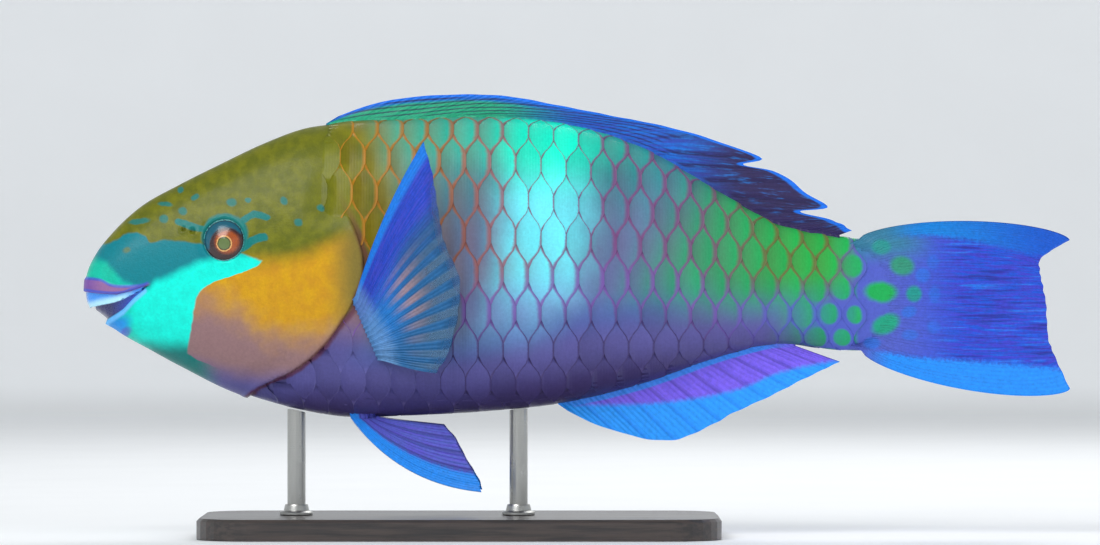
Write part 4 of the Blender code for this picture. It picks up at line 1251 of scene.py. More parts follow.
@dataclass
class ScaleCoat:
    """The coat of overlapping scales, one joined piece for each side."""

    lattice: ScaleLattice
    head: HeadForm
    finish: ScaleFinish
    across: tuple = (-1, -0.72, -0.44, -0.2, 0, 0.2, 0.44, 0.72, 1)
    along: tuple = (0, 0.04, 0.5, 1)
    top_depth: Pair = (0.06, 0.036)
    thickness: float = 0.15
    hidden: float = 1.5
    seed: int = 11
    low_relief: float = 0.2
    past_edge: float = 0.035
    gill_clear: float = 2.4
    nape_start: float = -103.0
    cut_off: float = 0.42
    nape_sink: tuple[float, float, float] = (0.5, -104, -88)
    nape_relief: Pair = (-98, -70)
    belly_relief: Pair = (-34, -10)

    def _seats(self) -> Array:
        """The scales that show: those whose rear bar isn't under the gill cover or within it."""
        seats = self.lattice.seats()
        places, turns, inside = self.lattice.locate(*seats.T)
        side = self.lattice.body.point(places, turns)[:, [0, 2]]
        on_nape = (side[:, 1] > self.head.gill_top) & (side[:, 0] > self.nape_start)
        shown = (self.head.behind_edge(side) > self.gill_clear) | on_nape
        below = inside > -self.cut_off * self.lattice.row_height(seats[:, 0])
        return seats[shown & below]

    def surface(self) -> Surface:
        """The right side's scales.

        A scale runs from its hidden front to its rear edge, which is upright in the middle and slants
        forwards at the sides by a smooth step. The depth under the smooth body grows evenly with the
        distance in front of the rear bar, so neighbours lie over one another.

        Returns:
            One surface with a closed plate for each scale.
        """
        lattice = self.lattice
        seats = self._seats()
        bar, height = lattice.bar(seats[:, 0]), lattice.row_height(seats[:, 0])
        wide = (1 - bar / 2)[:, None] * np.asarray(self.across)
        past = ease((np.abs(wide) - bar[:, None] / 2) / (1 - bar[:, None]))
        edge = 0.5 * lattice.length * past
        front = lattice.length + self.hidden
        back = edge[:, None, :] + (front - edge[:, None, :]) * np.asarray(self.along)[None, :, None]
        row = seats[:, 1, None, None] + np.broadcast_to(wide[:, None, :], back.shape)
        x = seats[:, 0, None, None] - back
        places, turns, inside = lattice.locate(x.ravel(), row.ravel())
        places, turns = places.reshape(x.shape), turns.reshape(x.shape)
        over = np.clip(-inside.reshape(x.shape), 0, None)
        points, outward = lattice.body.point(places, turns), lattice.body.outward(places, turns)
        start, slope = self.top_depth
        relief = self._relief(points[..., 0], points[..., 2])
        sunk, front_x, rear_x = self.nape_sink
        sunk = sunk * (1 - step(points[..., 0], front_x, rear_x)) * (points[..., 2] > 0)
        depth = start + slope * back * relief + self.past_edge * over + sunk
        top = points - outward * depth[..., None]
        bottom = top - outward * (self.thickness * relief)[..., None]
        count, rows, columns = x.shape
        chance = np.random.default_rng(self.seed).random(count)
        values = {"Back": back, "Across": wide[:, None, :] * height[:, None, None]}
        whole = {"Bar": bar, "Row": height, "Chance": chance}
        values |= {name: value[:, None, None] for name, value in whole.items()}
        values = {name: np.broadcast_to(value, x.shape) for name, value in values.items()}
        flat = self._bake_map(seats, back, wide)
        one = sheet_between(top[0], bottom[0], {})
        size = 2 * rows * columns
        faces = (one.faces[None] + np.arange(count)[:, None, None] * size).reshape(-1, 4)
        both = np.stack([top.reshape(count, -1, 3), bottom.reshape(count, -1, 3)], axis=1)
        twice = {name: np.repeat(own.reshape(count, -1), 2, axis=0).ravel() for name, own in values.items()}
        flat = np.repeat(flat.reshape(count, 1, -1, 2), 2, axis=1).reshape(-1, 2)
        surface = Surface(both.reshape(-1, 3), faces, {"OFBake": flat}, twice, np.tile(one.flat, count))
        return surface.facing_out()

    def _relief(self, x: Array, height: Array) -> Array:
        """How strongly the scales stand out: fully on the flank, and little on the nape and the belly."""
        share = step(x, *self.nape_relief) * step(height, *self.belly_relief)
        return self.low_relief + (1 - self.low_relief) * share

    def _bake_map(self, seats: Array, back: Array, wide: Array) -> Array:
        """Each scale's patch at its place on an unwrap of the right side of the skin.

        The unwrap has the way along the body across it and the girth up it, in the upper half of the square.
        A scale's patch is its own cell of the lattice, shrunk a little.

        Args:
            seats: The rear bars as (x, row).
            back: Distances in front of the bars.
            wide: Distances across in rows, for each scale and point across.

        Returns:
            The flat map.
        """
        lattice = self.lattice
        columns = (lattice.last_x - lattice.first_x) / lattice.length + 2
        rows = lattice.rows[1] - lattice.rows[0]
        corner_u = (seats[:, 0] - lattice.first_x) / lattice.length + 0.5
        corner_v = seats[:, 1] - lattice.rows[0]
        part_u = 1 - back / back.max()
        part_v = np.broadcast_to((wide[:, None, :] + 1) / 2, back.shape)
        u = (corner_u[:, None, None] + 0.05 + 0.9 * part_u) / columns
        v = 0.5 + (corner_v[:, None, None] + 0.05 + 0.9 * part_v) / rows / 2
        return np.stack([u, v], axis=-1)

    def build(self) -> list[Piece]:
        """Makes the two sides' scales."""
        right = self.surface()
        material = self.finish.material("painted scales")
        left = right.mirrored()
        left.maps = {"OFBake": left.maps["OFBake"] - np.array([0, 0.5])}
        return [
            right.build("scales_right", material, "flank_skin"),
            left.build("scales_left", material, "flank_skin"),
        ]


@dataclass(frozen=True)
class EyeFinish:
    """A glossy eye painted in rings round its own middle, with a painted reflection filling the pupil."""

    # The pupil's olive green is a painted reflection.
    pupil: Colour = srgb(92, 112, 58)
    pupil_edge: Colour = srgb(60, 40, 20)
    gold: Colour = srgb(222, 168, 96)
    iris: Colour = srgb(160, 74, 20)
    iris_dark: Colour = srgb(50, 24, 26)
    lid: Colour = srgb(0, 86, 108)
    pupil_place: Pair = (0.5, -1.6)
    iris_place: Pair = (1.5, -0.7)
    opening_place: Pair = (1.3, -2.1)
    radii: tuple[float, float, float, float] = (2.6, 2.95, 4.6, 6.3)
    rim: float = 7.9
    roughness: float = 0.12
    relief: float = 0.05
    coat: Pair = (0.35, 0.03)

    def material(self, name: str) -> Material:
        """The finish as a material: rings by the map's distance from its middle, in millimetres."""
        graph = Coating(name)
        flat = graph.read("UVMap", "UV", uv_map="Rings")
        across, up, _ = flat.split()
        speckle = fish_place(graph)[0].noise(1.6, 4, 0.7)
        rough = (speckle - 0.5) * 0.7
        away, from_iris, from_opening = (
            flat.vector("DISTANCE", (*place, 0)) + rough
            for place in (self.pupil_place, self.iris_place, self.opening_place)
        )
        pupil, ring, iris, opening = self.radii
        colour = from_iris.rise(iris - 0.9, iris + 0.9).mix(self.iris, self.iris_dark)
        colour = (speckle.rise(0.45, 0.7) * 0.35).mix(colour, self.iris_dark)
        colour = (away.rise(ring + 0.2, ring) * 0.9).mix(colour, self.gold)
        colour = away.rise(pupil + 0.1, pupil - 0.1).mix(colour, self.pupil_edge)
        # Painted reflection: the pupil is filled with olive green.
        colour = away.rise(pupil, pupil - 0.7).mix(colour, self.pupil)
        upper = (up + across * -0.45).rise(-2.2, 0.4)
        lid = from_opening.rise(opening - 0.1, opening + 0.9) * upper
        colour = (from_opening.rise(opening - 1.6, opening) * upper).mix(colour, self.iris_dark)
        colour = lid.mix(colour, self.lid)
        edge = flat.vector("LENGTH")
        colour = (edge.rise(self.rim - 0.8, self.rim - 0.3) * 0.8).mix(colour, self.iris_dark)
        gloss = speckle.remap(0.3, 0.7, self.roughness, self.roughness + 0.1)
        return graph.finish(colour, gloss, speckle, self.relief, coat=self.coat)


@dataclass
class Eyes:
    """The two eyes, each a shallow dome in its socket with a raised pupil and a fine pale rim."""

    body: BodyForm
    head: HeadForm
    finish: EyeFinish
    radius: float = 8.7
    bulge: float = 4.3
    sink: float = 2.6
    pupil_rise: float = 0.35
    rings: int = 44
    sides: int = 96
    rim_radius: float = 7.85
    rim_thick: float = 0.32
    back_depth: float = 1.2

    def _placed(self, side: Side, away: Array, turn: Array, lift: Array) -> tuple[Array, Array]:
        """Points round an eye's own axis.

        Args:
            side: Which eye.
            away: Distances from the axis.
            turn: Angles round it, 0 to the rear.
            lift: Heights over the dome's middle.

        Returns:
            The points, and their flat map across the eye.
        """
        x, height = self.head.eye_place
        point, outward = self.body.on_skin(np.array([x]), np.array([height]), side)
        centre, outward = point[0] - outward[0] * self.sink, outward[0]
        back = unit(np.array([1, 0, 0]) - outward * outward[0])
        up = np.cross(outward, back)
        up = up * np.sign(up[2])
        flat = np.stack([away * np.cos(turn), away * np.sin(turn)], axis=-1)
        return centre + flat[..., :1] * back + flat[..., 1:] * up + lift[..., None] * outward, flat

    def surface(self, side: Side) -> Surface:
        """One eye: a half ellipsoid, as high as the bulge times the cosine of its angle, on a flat back."""
        angle = np.linspace(0, math.pi / 2, self.rings)[:, None]
        turn = full_turn(self.sides)[None, :]
        away = self.radius * np.sin(angle) + 0 * turn
        lift = self.bulge * np.cos(angle) + self.pupil_rise * bump(away, 3)
        lift = np.concatenate([lift, lift[-1:] - self.back_depth])
        away = np.concatenate([away, away[-1:] * 0])
        points, flat = self._placed(side, away, turn, lift)
        return tube(points, {"Rings": flat})

    def rim(self, side: Side) -> Surface:
        """The pale ring round an eye: a small round section carried along the edge of the socket."""
        turn, roll = full_turn(self.sides)[:, None], full_turn(12)[None, :]
        away = self.rim_radius + self.rim_thick * np.cos(roll)
        level = self.bulge * math.sqrt(1 - (self.rim_radius / self.radius) ** 2)
        return hoop(self._placed(side, away, turn, level + self.rim_thick * np.sin(roll))[0])

    def build(self) -> list[Piece]:
        """Makes the eyes and their rims."""
        material, made = self.finish.material("painted eye"), []
        for side in Side:
            eye = self.surface(side).build(f"eyeball_{side.word}", material, "eye")
            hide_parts(f"eye_{side.word}")
            pale = RimFinish().material(f"eye rim {side.word}")
            made += [eye, self.rim(side).build(f"eye_rim_{side.word}", pale, "eye")]
        return made


@dataclass(frozen=True)
class RimFinish:
    """The pale turquoise ring round an eye."""

    colour: Colour = srgb(48, 150, 150)
    shade: Colour = srgb(8, 84, 98)

    def material(self, name: str) -> Material:
        """The finish as a material of the given name."""
        graph = Coating(name)
        cloud = fish_place(graph)[0].noise(1.3, 3)
        colour = cloud.rise(0.35, 0.6).mix(self.shade, self.colour)
        return graph.finish(colour, cloud.remap(0.3, 0.7, 0.2, 0.35), cloud, 0.05, coat=(0.5, 0.03))


@dataclass(frozen=True)
class ToothFinish:
    """Enamel of the tooth plates: pale blue above the bite, deep blue below it where the lower plate is
    painted with shade, with fine upright ribs.
    """

    bite: Line
    # Deep and middle are painted shade on the lower plate, darkest at its front inside the mouth.
    deep: Colour = srgb(6, 20, 92)
    middle: Colour = srgb(4, 62, 176)
    bright: Colour = srgb(44, 142, 238)
    pale: Colour = srgb(176, 232, 252)
    roughness: float = 0.22
    rib_depth: float = 0.12
    coat: Pair = (0.6, 0.08)

    def material(self, name: str) -> Material:
        """The finish as a material of the given name."""
        graph = Coating(name)
        place, x, _, height = fish_place(graph)
        grain, above = place.noise(2.2, 3), height - x.follow(self.bite)
        upper = (above + (grain - 0.5) * 1.6).rise(3.6, 0.8).mix(self.bright, self.pale)
        upper = x.rise(-176, -168).mix(upper, self.bright)
        # Painted shade: the lower plate runs from navy at its front to blue towards the corners.
        lower = x.rise(-180, -170).mix(self.deep, self.middle)
        lower = x.rise(-170.5, -166.5).mix(lower, self.bright)
        colour = above.rise(-0.2, 0.2).mix(lower, upper)
        rough = grain.remap(0.3, 0.7, self.roughness, self.roughness + 0.15)
        ribs = (x * 2.6).sine() * 0.4 + grain
        return graph.finish(colour, rough, ribs, self.rib_depth, coat=self.coat)


@dataclass
class Beak:
    """The two tooth plates, curved round the front of the snout and met along a toothed edge."""

    body: BodyForm
    head: HeadForm
    finish: ToothFinish
    teeth: int = 13
    tooth_depth: float = 0.55
    gap: float = 0.32
    upper_inset: float = 0.35
    lower_inset: float = 1.5
    lip_overlap: float = 0.9
    least_height: float = 0.4
    end_taper: float = 0.12
    end_inset: float = 0.5
    end_share: float = 0.35
    thickness: float = 1.9
    reach: float = -166.4
    columns: int = 120
    rows: int = 14

    def _front(self, height: Array) -> Array:
        """How far forward the snout reaches at a height, at the fish's middle plane."""
        places = np.linspace(0, 0.2, 600)
        rows = smooth_rows(self.body.sections, places)
        line = np.concatenate([rows[::-1, [0, 1]], rows[:, [2, 3]]])
        order = np.argsort(line[:, 1])
        return np.interp(height, line[order, 1], line[order, 0])

    def surface(self, upper: bool) -> Surface:
        """One tooth plate.

        Columns run round the front from one corner of the mouth to the other, with x rising as the square of
        the distance from the middle. Rows run from the lip to the biting edge and its small rounded teeth.
        The plate follows the smooth body, set in a little.

        Args:
            upper: Whether it is the upper plate.

        Returns:
            The closed plate.
        """
        lip, sign = (self.head.upper_lip_edge, 1) if upper else (self.head.lower_lip_edge, -1)
        inset = self.upper_inset if upper else self.lower_inset
        across = np.linspace(-1, 1, self.columns)[None, :]
        down = np.linspace(0, 1, self.rows)[:, None]
        start = self._front(np.array([3 if upper else -5]))[0]
        x = start + (self.reach - start) * np.abs(across) ** 2
        teeth = np.abs(np.sin(math.pi * self.teeth * np.abs(across) ** 1.3)) ** 0.6 * self.tooth_depth
        bite = height_on(self.head.bite_edge, x) + sign * self.gap / 2 - sign * (teeth - 0.3)
        edge = height_on(lip, x) + sign * self.lip_overlap
        edge = np.where(sign * (edge - bite) < self.least_height, bite + sign * self.least_height, edge)
        height = edge + (bite - edge) * down
        x = np.maximum(x, self._front(height) + 0.02)
        places, turns = self.body.on_side(x, height)
        mirror = np.stack([np.ones_like(x), np.sign(-across) + 0 * x, np.ones_like(x)], axis=-1)
        outward = self.body.outward(places, turns) * mirror
        point = self.body.point(places, turns) * mirror
        full = ease((1 - np.abs(across)) / self.end_taper)
        depth = inset + self.end_inset * (1 - full)
        outer = point - outward * depth[..., None]
        thick = self.thickness * (self.end_share + (1 - self.end_share) * full)
        inner = outer - outward * thick[..., None]
        return sheet_between(outer, inner, {})

    def build(self) -> list[Piece]:
        """Makes both plates."""
        made, material = [], self.finish.material("blue enamel")
        for upper, word in ((True, "upper"), (False, "lower")):
            plate = self.surface(upper).build(f"tooth_plate_{word}", material, "tooth_plate")
            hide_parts(f"beak_{word}")
            made.append(plate)
        return made


class FinZone(Enum):
    """Which fin a finish is for."""

    DORSAL = "dorsal"
    ANAL = "anal"
    TAIL = "tail"
    PECTORAL = "pectoral"
    PELVIC = "pelvic"


class FinPlace:
    """Where a point is on a fin: its ray's number, the way out from the root and the way left to the edge."""

    def __init__(self, graph: Graph) -> None:
        """Reads the fin's own values, and makes the lines along its rays, their streaks and the grain."""
        self.ray, self.out, self.reach = (graph.value(label) for label in ("Ray", "Out", "Reach"))
        place, self.x, _, self.height = fish_place(graph)
        self.line = self.ray.math("PINGPONG", 0.5)
        self.streak = graph.join(self.ray * 5, self.out * 0.1, 0).noise(1, 3, 0.6)
        self.grain = place.noise(0.8, 4, 0.65)


@dataclass(frozen=True)
class FinFinish:
    """A fin's paint: coloured bands on the membrane, darker or brighter rays and a bright outer edge."""

    zone: FinZone
    roughness: float = 0.42
    specular: float = 0.28
    coat: Pair = (0.1, 0.2)
    ray_depth: float = 0.25

    def material(self, name: str) -> Material:
        """The finish as a material of the given name."""
        graph = Coating(name)
        at = FinPlace(graph)
        painters = {
            FinZone.DORSAL: self._dorsal, FinZone.ANAL: self._anal, FinZone.TAIL: self._tail,
            FinZone.PECTORAL: self._pectoral, FinZone.PELVIC: self._pelvic,
        }
        colour = at.grain.remap(0.3, 0.7, 0.86, 1.14).tint(painters[self.zone](at))
        if self.zone is FinZone.PECTORAL:
            fringe = at.reach.rise(7, 0.5) * at.ray.rise(1, 3) * 0.5
            clear = (self._gaps(at) * at.reach.rise(26, 10) * 0.42).most(fringe)
            graph.feed(graph.shader.inputs["Alpha"], 1 - clear)
        rough = at.streak.remap(0.3, 0.7, self.roughness - 0.08, self.roughness + 0.1)
        relief = (at.ray * 4).math("PINGPONG", 0.5).rise(0.4, 0.1) * 0.6 + at.grain * 0.4
        return graph.finish(colour, rough, relief, self.ray_depth, self.specular, self.coat)

    def _dorsal(self, at: FinPlace) -> Signal:
        """Blue with a green base in front, dusky lobes behind and a bright blue edge."""
        p, x = Palette, at.x
        front = at.reach.rise(4, 8).mix(srgb(10, 96, 190), srgb(28, 160, 120))
        middle = at.streak.rise(0.35, 0.6).mix(srgb(46, 74, 176), srgb(20, 98, 196))
        colour = x.rise(-34, 4).mix(front, middle)
        colour = x.rise(34, 66).mix(colour, srgb(46, 38, 84))
        slant = x * 0.062 - at.out * 0.27
        slant = (slant + at.grain * 0.15).math("PINGPONG", 0.5)
        line = x.rise(22, 44).blend(slant, at.line).rise(0.27, 0.07)
        dark = line * at.out.rise(0.4, 2.6) * at.streak.rise(0.26, 0.46)
        colour = (dark * 0.78).mix(colour, srgb(34, 26, 74))
        pale = at.streak.rise(0.52, 0.72) * at.out.rise(3, 9) * 0.5
        colour = (pale * x.rise(-20, 20)).mix(colour, p.azure)
        edge = at.reach + at.grain * 1.2
        return (edge.rise(3.9, 2.5) * 0.95).mix(colour, srgb(12, 112, 232))

    def _anal(self, at: FinPlace) -> Signal:
        """A pale blue base stripe, a violet band with slanting rays and a bright blue outer band."""
        p, x = Palette, at.x
        colour = at.streak.rise(0.4, 0.75).mix(p.grape, srgb(104, 84, 220))
        dark = at.line.rise(0.14, 0.03) * 0.3
        colour = dark.mix(colour, p.ink)
        edge = ((-6.5, -40), (9, -40.4), (32, -39.6), (47, -37.7), (62.7, -34.2), (78, -28), (101.5, -23))
        below = x.follow(edge) - at.height + (at.grain - 0.5) * 2
        band = (at.line.rise(0.14, 0.04) * 0.25).mix(srgb(38, 152, 252), p.royal)
        colour = below.rise(-1.4, 1.2).mix(colour, band)
        base = at.out.rise(2.8, 1.8) * x.rise(86, 70)
        return (base * 0.85).mix(colour, p.azure)

    def _tail(self, at: FinPlace) -> Signal:
        """Spotted violet at the root, then blue upper and lower lobes and a streaked violet-blue middle."""
        p, x, height = Palette, at.x, at.height
        middle = at.streak.rise(0.4, 0.62).mix(srgb(58, 62, 194), srgb(22, 80, 204))
        fine = x.graph.join(x * 0.035, height * 0.62, 0).noise(1, 3, 0.6)
        middle = (fine.rise(0.52, 0.66) * 0.6).mix(middle, srgb(26, 24, 116))
        middle = (fine.rise(0.44, 0.36) * 0.45).mix(middle, p.azure)
        upper = x.follow(((105, 22), (130, 24.5), (145, 23.8), (160, 21), (176, 17.4), (190, 16)))
        lower = x.follow(((105, -17), (130, -21.5), (145, -23), (176, -25.6), (190, -27)))
        ragged = (at.grain - 0.5) * 3
        top = (height - upper + ragged).rise(-1.6, 1.6)
        low = (lower - height + ragged).rise(-1.6, 1.6)
        lobe = x.rise(130, 185).mix(srgb(6, 128, 214), srgb(14, 84, 196))
        colour = top.mix(middle, lobe)
        colour = low.mix(colour, p.azure)
        root = (x + ragged * 1.5).rise(150, 132)
        lobes = (top * x.rise(116, 134)).most(low * x.rise(108, 122))
        return (root * (1 - lobes)).mix(colour, spotted(x, height))

    def _pectoral(self, at: FinPlace) -> Signal:
        """A bright blue leading band, deep blue streaks, then bright rays with clear gaps behind."""
        colour = at.ray.rise(2.5, 6.5).mix(srgb(26, 66, 190), srgb(22, 116, 196))
        streaks = at.streak.rise(0.44, 0.6) * at.ray.rise(7, 4)
        colour = (streaks * 0.6).mix(colour, srgb(66, 70, 196))
        dusk = at.ray.rise(2.6, 4.4) * at.reach.rise(34, 16)
        colour = (dusk * 0.7).mix(colour, srgb(24, 82, 120))
        colour = at.ray.rise(1.15, 0.6).mix(colour, srgb(14, 120, 224))
        pale = at.reach.rise(8, 22).mix(srgb(84, 124, 158), srgb(176, 142, 142))
        colour = (self._gaps(at) * 0.8).mix(colour, pale)
        base = (at.out + at.streak * 8).rise(13, 7)
        return (base * 0.6).mix(colour, srgb(112, 158, 206))

    def _gaps(self, at: FinPlace) -> Signal:
        """Where the side fin's membrane is clear: between its hinder rays and away from the root."""
        behind = at.ray.rise(3.5, 6.5)
        out = at.out.rise(9, 22)
        return at.line.rise(0.16, 0.34) * behind * out

    def _pelvic(self, at: FinPlace) -> Signal:
        """A broad bright blue leading band and violet rays behind it."""
        p = Palette
        colour = at.streak.rise(0.35, 0.65).mix(p.violet, p.iris)
        dark = at.line.rise(0.2, 0.05) * 0.45
        colour = dark.mix(colour, p.ink)
        ragged = (at.grain - 0.5) * 0.8
        return (at.ray + ragged).rise(2, 1.5).mix(colour, p.azure)


@dataclass
class Fin:
    """One fin as a fine sheet, with a rounded ridge along each ray and a softly notched edge.

    Roots and tips are the rays' ends (x, y, height), bows say how far each ray bends in the side view, and
    sink carries the root into the body. Lift leans the fin outwards, as a share of a ray's length, with the
    side's sign. The halves are half thicknesses.
    """

    name: str
    replaced: str
    zone: FinZone
    slot: str
    roots: Array
    tips: Array
    bows: Array
    sink: Array
    rays: int
    root_half: float = 1.8
    lift: float = 0.0
    edge_half: float = 0.24
    ridge: float = 0.4
    notch: float = 0.35
    ragged: float = 0.3
    bow_power: float = 1.0
    lines_between: int = 8
    steps: int = 56

    def surface(self) -> Surface:
        """The fin's surface.

        A line of the sheet runs from a root to a tip, bent sideways by its bow times a power of 4s(1 - s).
        Its half thickness falls with the power 2.5 of the way left, plus a ridge that follows the power 6 of
        the cosine across each ray. Lines between rays end a little short.

        Returns:
            The closed sheet, with values for the ray, the way out and the distance to the edge.
        """
        count = (self.rays - 1) * self.lines_between + 1
        table = np.column_stack([self.roots[:, [0, 2, 1]], self.tips, self.bows, self.sink])
        rows = smooth_rows(table, np.linspace(0, 1, count))
        root, tip, bow, sink = rows[:, [0, 2, 1]], rows[:, 3:6], rows[:, 6], rows[:, 7:10]
        ray = np.linspace(0, self.rays - 1, count)
        on_ray = np.cos(math.pi * ray) ** 2
        length = np.linalg.norm(tip - root, axis=1)
        ragged = np.interp(ray, *self._ragged())
        reach = 1 - (self.notch * (1 - on_ray) + ragged) / length
        span = (tip - root) * reach[:, None]
        sideways = np.column_stack([-span[:, 2], np.zeros(count), span[:, 0]]) / length[:, None]
        out = (1 - (1 - np.linspace(0, 1, self.steps)) ** 1.25)[None, :, None]
        grid = root[:, None] + span[:, None] * out
        grid = grid + sideways[:, None] * (bow[:, None, None] * (4 * out * (1 - out)) ** self.bow_power)
        grid[..., 1] += self.lift * length[:, None] * out[..., 0]
        grid = np.concatenate([grid[:, :1] + sink[:, None], grid], axis=1)
        out = np.concatenate([[0], out[0, :, 0]])
        across = unit(np.cross(np.gradient(grid, axis=0), np.gradient(grid, axis=1)))
        half = self.edge_half + (self.root_half - self.edge_half) * (1 - out) ** 2.5
        ridge = on_ray[:, None] ** 3 * (1 - 0.75 * out)[None, :]
        half = (half[None, :] + self.ridge * ridge)[..., None]
        far, left = length[:, None] * out, length[:, None] * (1 - out)
        values = {"Ray": ray[:, None] + 0 * out, "Out": far, "Reach": left}
        return sheet_between(grid + across * half, grid - across * half, values)

    def _ragged(self) -> tuple[Array, Array]:
        """Small uneven notches of the edge, seeded by the fin's name."""
        chance = np.random.default_rng(sum(self.name.encode()))
        places = np.arange(0, self.rays, 0.5)
        return places, self.ragged * chance.random(len(places))

    def build(self) -> Piece:
        """Makes the fin, which stands for the solid of its name."""
        material = FinFinish(self.zone).material(self.name.replace("_", " ") + " paint")
        fin = self.surface().build(self.name, material, self.slot)
        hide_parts(self.replaced)
        return fin


@dataclass
class FinSet:
    """All the fins, from rows of points traced along their rays, in millimetres."""

    body: BodyForm
    dorsal: tuple = (
        (-96.5, -91.9, 70.8), (-91.2, -81.9, 74.6), (-81.5, -66.2, 77.9), (-68.1, -48.8, 79.2),
        (-48.8, -27.7, 78.7), (-29.6, -6.5, 75), (-10.4, 14.6, 70.8), (8.8, 35, 66.7), (20.4, 52, 61.9),
        (28.1, 71.5, 54.4), (33.5, 64.5, 52.3), (41.5, 76.2, 49.6), (48.5, 83.1, 45.8), (54.2, 88.8, 41),
        (60, 96.9, 35.8), (67, 86, 34.2), (76, 95.8, 31.6), (88, 102, 29.4), (101, 106, 26.8),
    )
    anal: tuple = (
        (-7.3, -3.5, -42.7), (-4.2, 5, -47.1), (1.2, 14.6, -50.4), (8.8, 26.2, -53.5), (18.5, 38.8, -53.8),
        (28.1, 49.2, -49.6), (39.6, 60.8, -43.5), (51.2, 74.2, -37.3), (62.7, 85.8, -31.5),
        (74.2, 95.8, -26.5), (84, 101.5, -23.8),
    )
    tail: tuple = (
        (108.5, 23.5, 190, 23.1, 7.2), (113.5, 21.5, 184.2, 19.8, 5.6), (117.3, 17.7, 178.8, 15.8, 3.6),
        (119.6, 12.3, 178.5, 11.2, 1.6), (120.8, 6.2, 179.6, 5.8, 0.4), (121.2, 0, 180.8, -0.8, 0),
        (120.8, -5.4, 181.2, -7.7, -0.4), (119.6, -10.8, 181.9, -15.4, -1.6),
        (117.3, -15.4, 183.8, -20.4, -3.4), (113.8, -18.4, 186.9, -27.3, -5.6),
        (109.6, -19.6, 190, -34.2, -7.6),
    )
    pectoral: tuple = (
        (-84.2, 0.8, -58.1, 60, 2.4), (-82.7, -2.3, -55, 49.2, 2), (-81.2, -5.8, -52.7, 35.4, 2.2),
        (-79.6, -9.6, -50, 21.5, 1.4), (-78.1, -13.1, -44.6, 8.5, 0.8), (-76.5, -16.5, -45.4, -6.9, 0.2),
        (-75.4, -19.2, -48.8, -20, -0.4), (-74.2, -21.9, -53.5, -27.7, -1),
    )
    pelvic: tuple = (
        (-86.9, -45.4, -36.5, -73.5, -6.5), (-85, -45.4, -37.3, -70, -5), (-83.1, -45.4, -40, -65.4, -3.6),
        (-81.2, -45.4, -43.8, -58.8, -2.2), (-79.2, -45.4, -46.9, -52.8, -1), (-77.3, -45.2, -51.2, -48, 0),
    )
    midline_sink: float = 4.0
    tail_sink: Pair = (6, 3)
    pectoral_sink: Pair = (1, 4)
    pelvic_sink: Pair = (1, 5)
    pelvic_out: tuple[float, float, float] = (5, 15, 9)
    pectoral_lift: float = 0.34

    def _at(self, table: Array, column: int, out: Array | float) -> Array:
        """Points from a table's x and height in two columns running, and how far out to a side they are."""
        return np.column_stack([table[:, column], np.broadcast_to(out, len(table)), table[:, column + 1]])

    def _midline(self, rows: tuple, upward: bool) -> tuple[Array, ...]:
        """Roots on the body's outline, tips, bows and sinks of a fin in the middle plane."""
        table = np.asarray(rows)
        heights = smooth_rows(self.body.sections, self.body.place_of(table[:, 0]))[:, 1 if upward else 3]
        zero = np.zeros(len(table))
        sink = np.column_stack([zero, zero, zero - self.midline_sink * (1 if upward else -1)])
        roots = np.column_stack([table[:, 0], zero, heights])
        return roots, self._at(table, 1, 0), zero, sink

    def build(self) -> list[Piece]:
        """Makes the seven fins."""
        back, under = self._midline(self.dorsal, True), self._midline(self.anal, False)
        fins = [
            Fin("fin_back", "dorsal_fin", FinZone.DORSAL, "fin_blue", *back, 19),
            Fin("fin_under_tail", "anal_fin", FinZone.ANAL, "fin_violet", *under, 12),
            self._tail(),
        ]
        for side in Side:
            fins += [self._pectoral(side), self._pelvic(side)]
        return [fin.build() for fin in fins]

    def _tail(self) -> Fin:
        """The tail fin, whose root wraps a little round the end of the stalk."""
        table = np.asarray(self.tail)
        zero = np.zeros(len(table))
        turn = np.linspace(1, -1, len(table))
        sink = np.column_stack([zero - self.tail_sink[0], zero, -self.tail_sink[1] * turn**3])
        spread = (self._at(table, 0, 0), self._at(table, 2, 0), table[:, 4], sink, 15)
        return Fin("fin_tail", "tail_fin", FinZone.TAIL, "fin_violet", *spread, root_half=3.4, bow_power=0.62)

    def _pectoral(self, side: Side) -> Fin:
        """A side fin, raised and leaning away from the body."""
        table = np.asarray(self.pectoral)
        out = self.body.on_skin(table[:, 0], table[:, 1], side)[0][:, 1]
        along, inward = self.pectoral_sink
        sink = np.tile([-along, -side.value * inward, 0], (len(table), 1))
        spread = (self._at(table, 0, out), self._at(table, 2, out), table[:, 4], sink, 14)
        names = (f"fin_side_{side.word}", f"pectoral_fin_{side.word}")
        return Fin(*names, FinZone.PECTORAL, "fin_blue", *spread, lift=side.value * self.pectoral_lift)

    def _pelvic(self, side: Side) -> Fin:
        """A belly fin, spread a little to its side."""
        table = np.asarray(self.pelvic)
        root_out, first_out, last_out = self.pelvic_out
        out = side.value * np.linspace(first_out, last_out, len(table))
        spread = (self._at(table, 0, side.value * root_out), self._at(table, 2, out), table[:, 4])
        along, upward = self.pelvic_sink
        sink = np.tile([-along, 0, upward], (len(table), 1))
        names = (f"fin_belly_{side.word}", f"pelvic_fin_{side.word}")
        return Fin(*names, FinZone.PELVIC, "fin_violet", *spread, sink, 6)


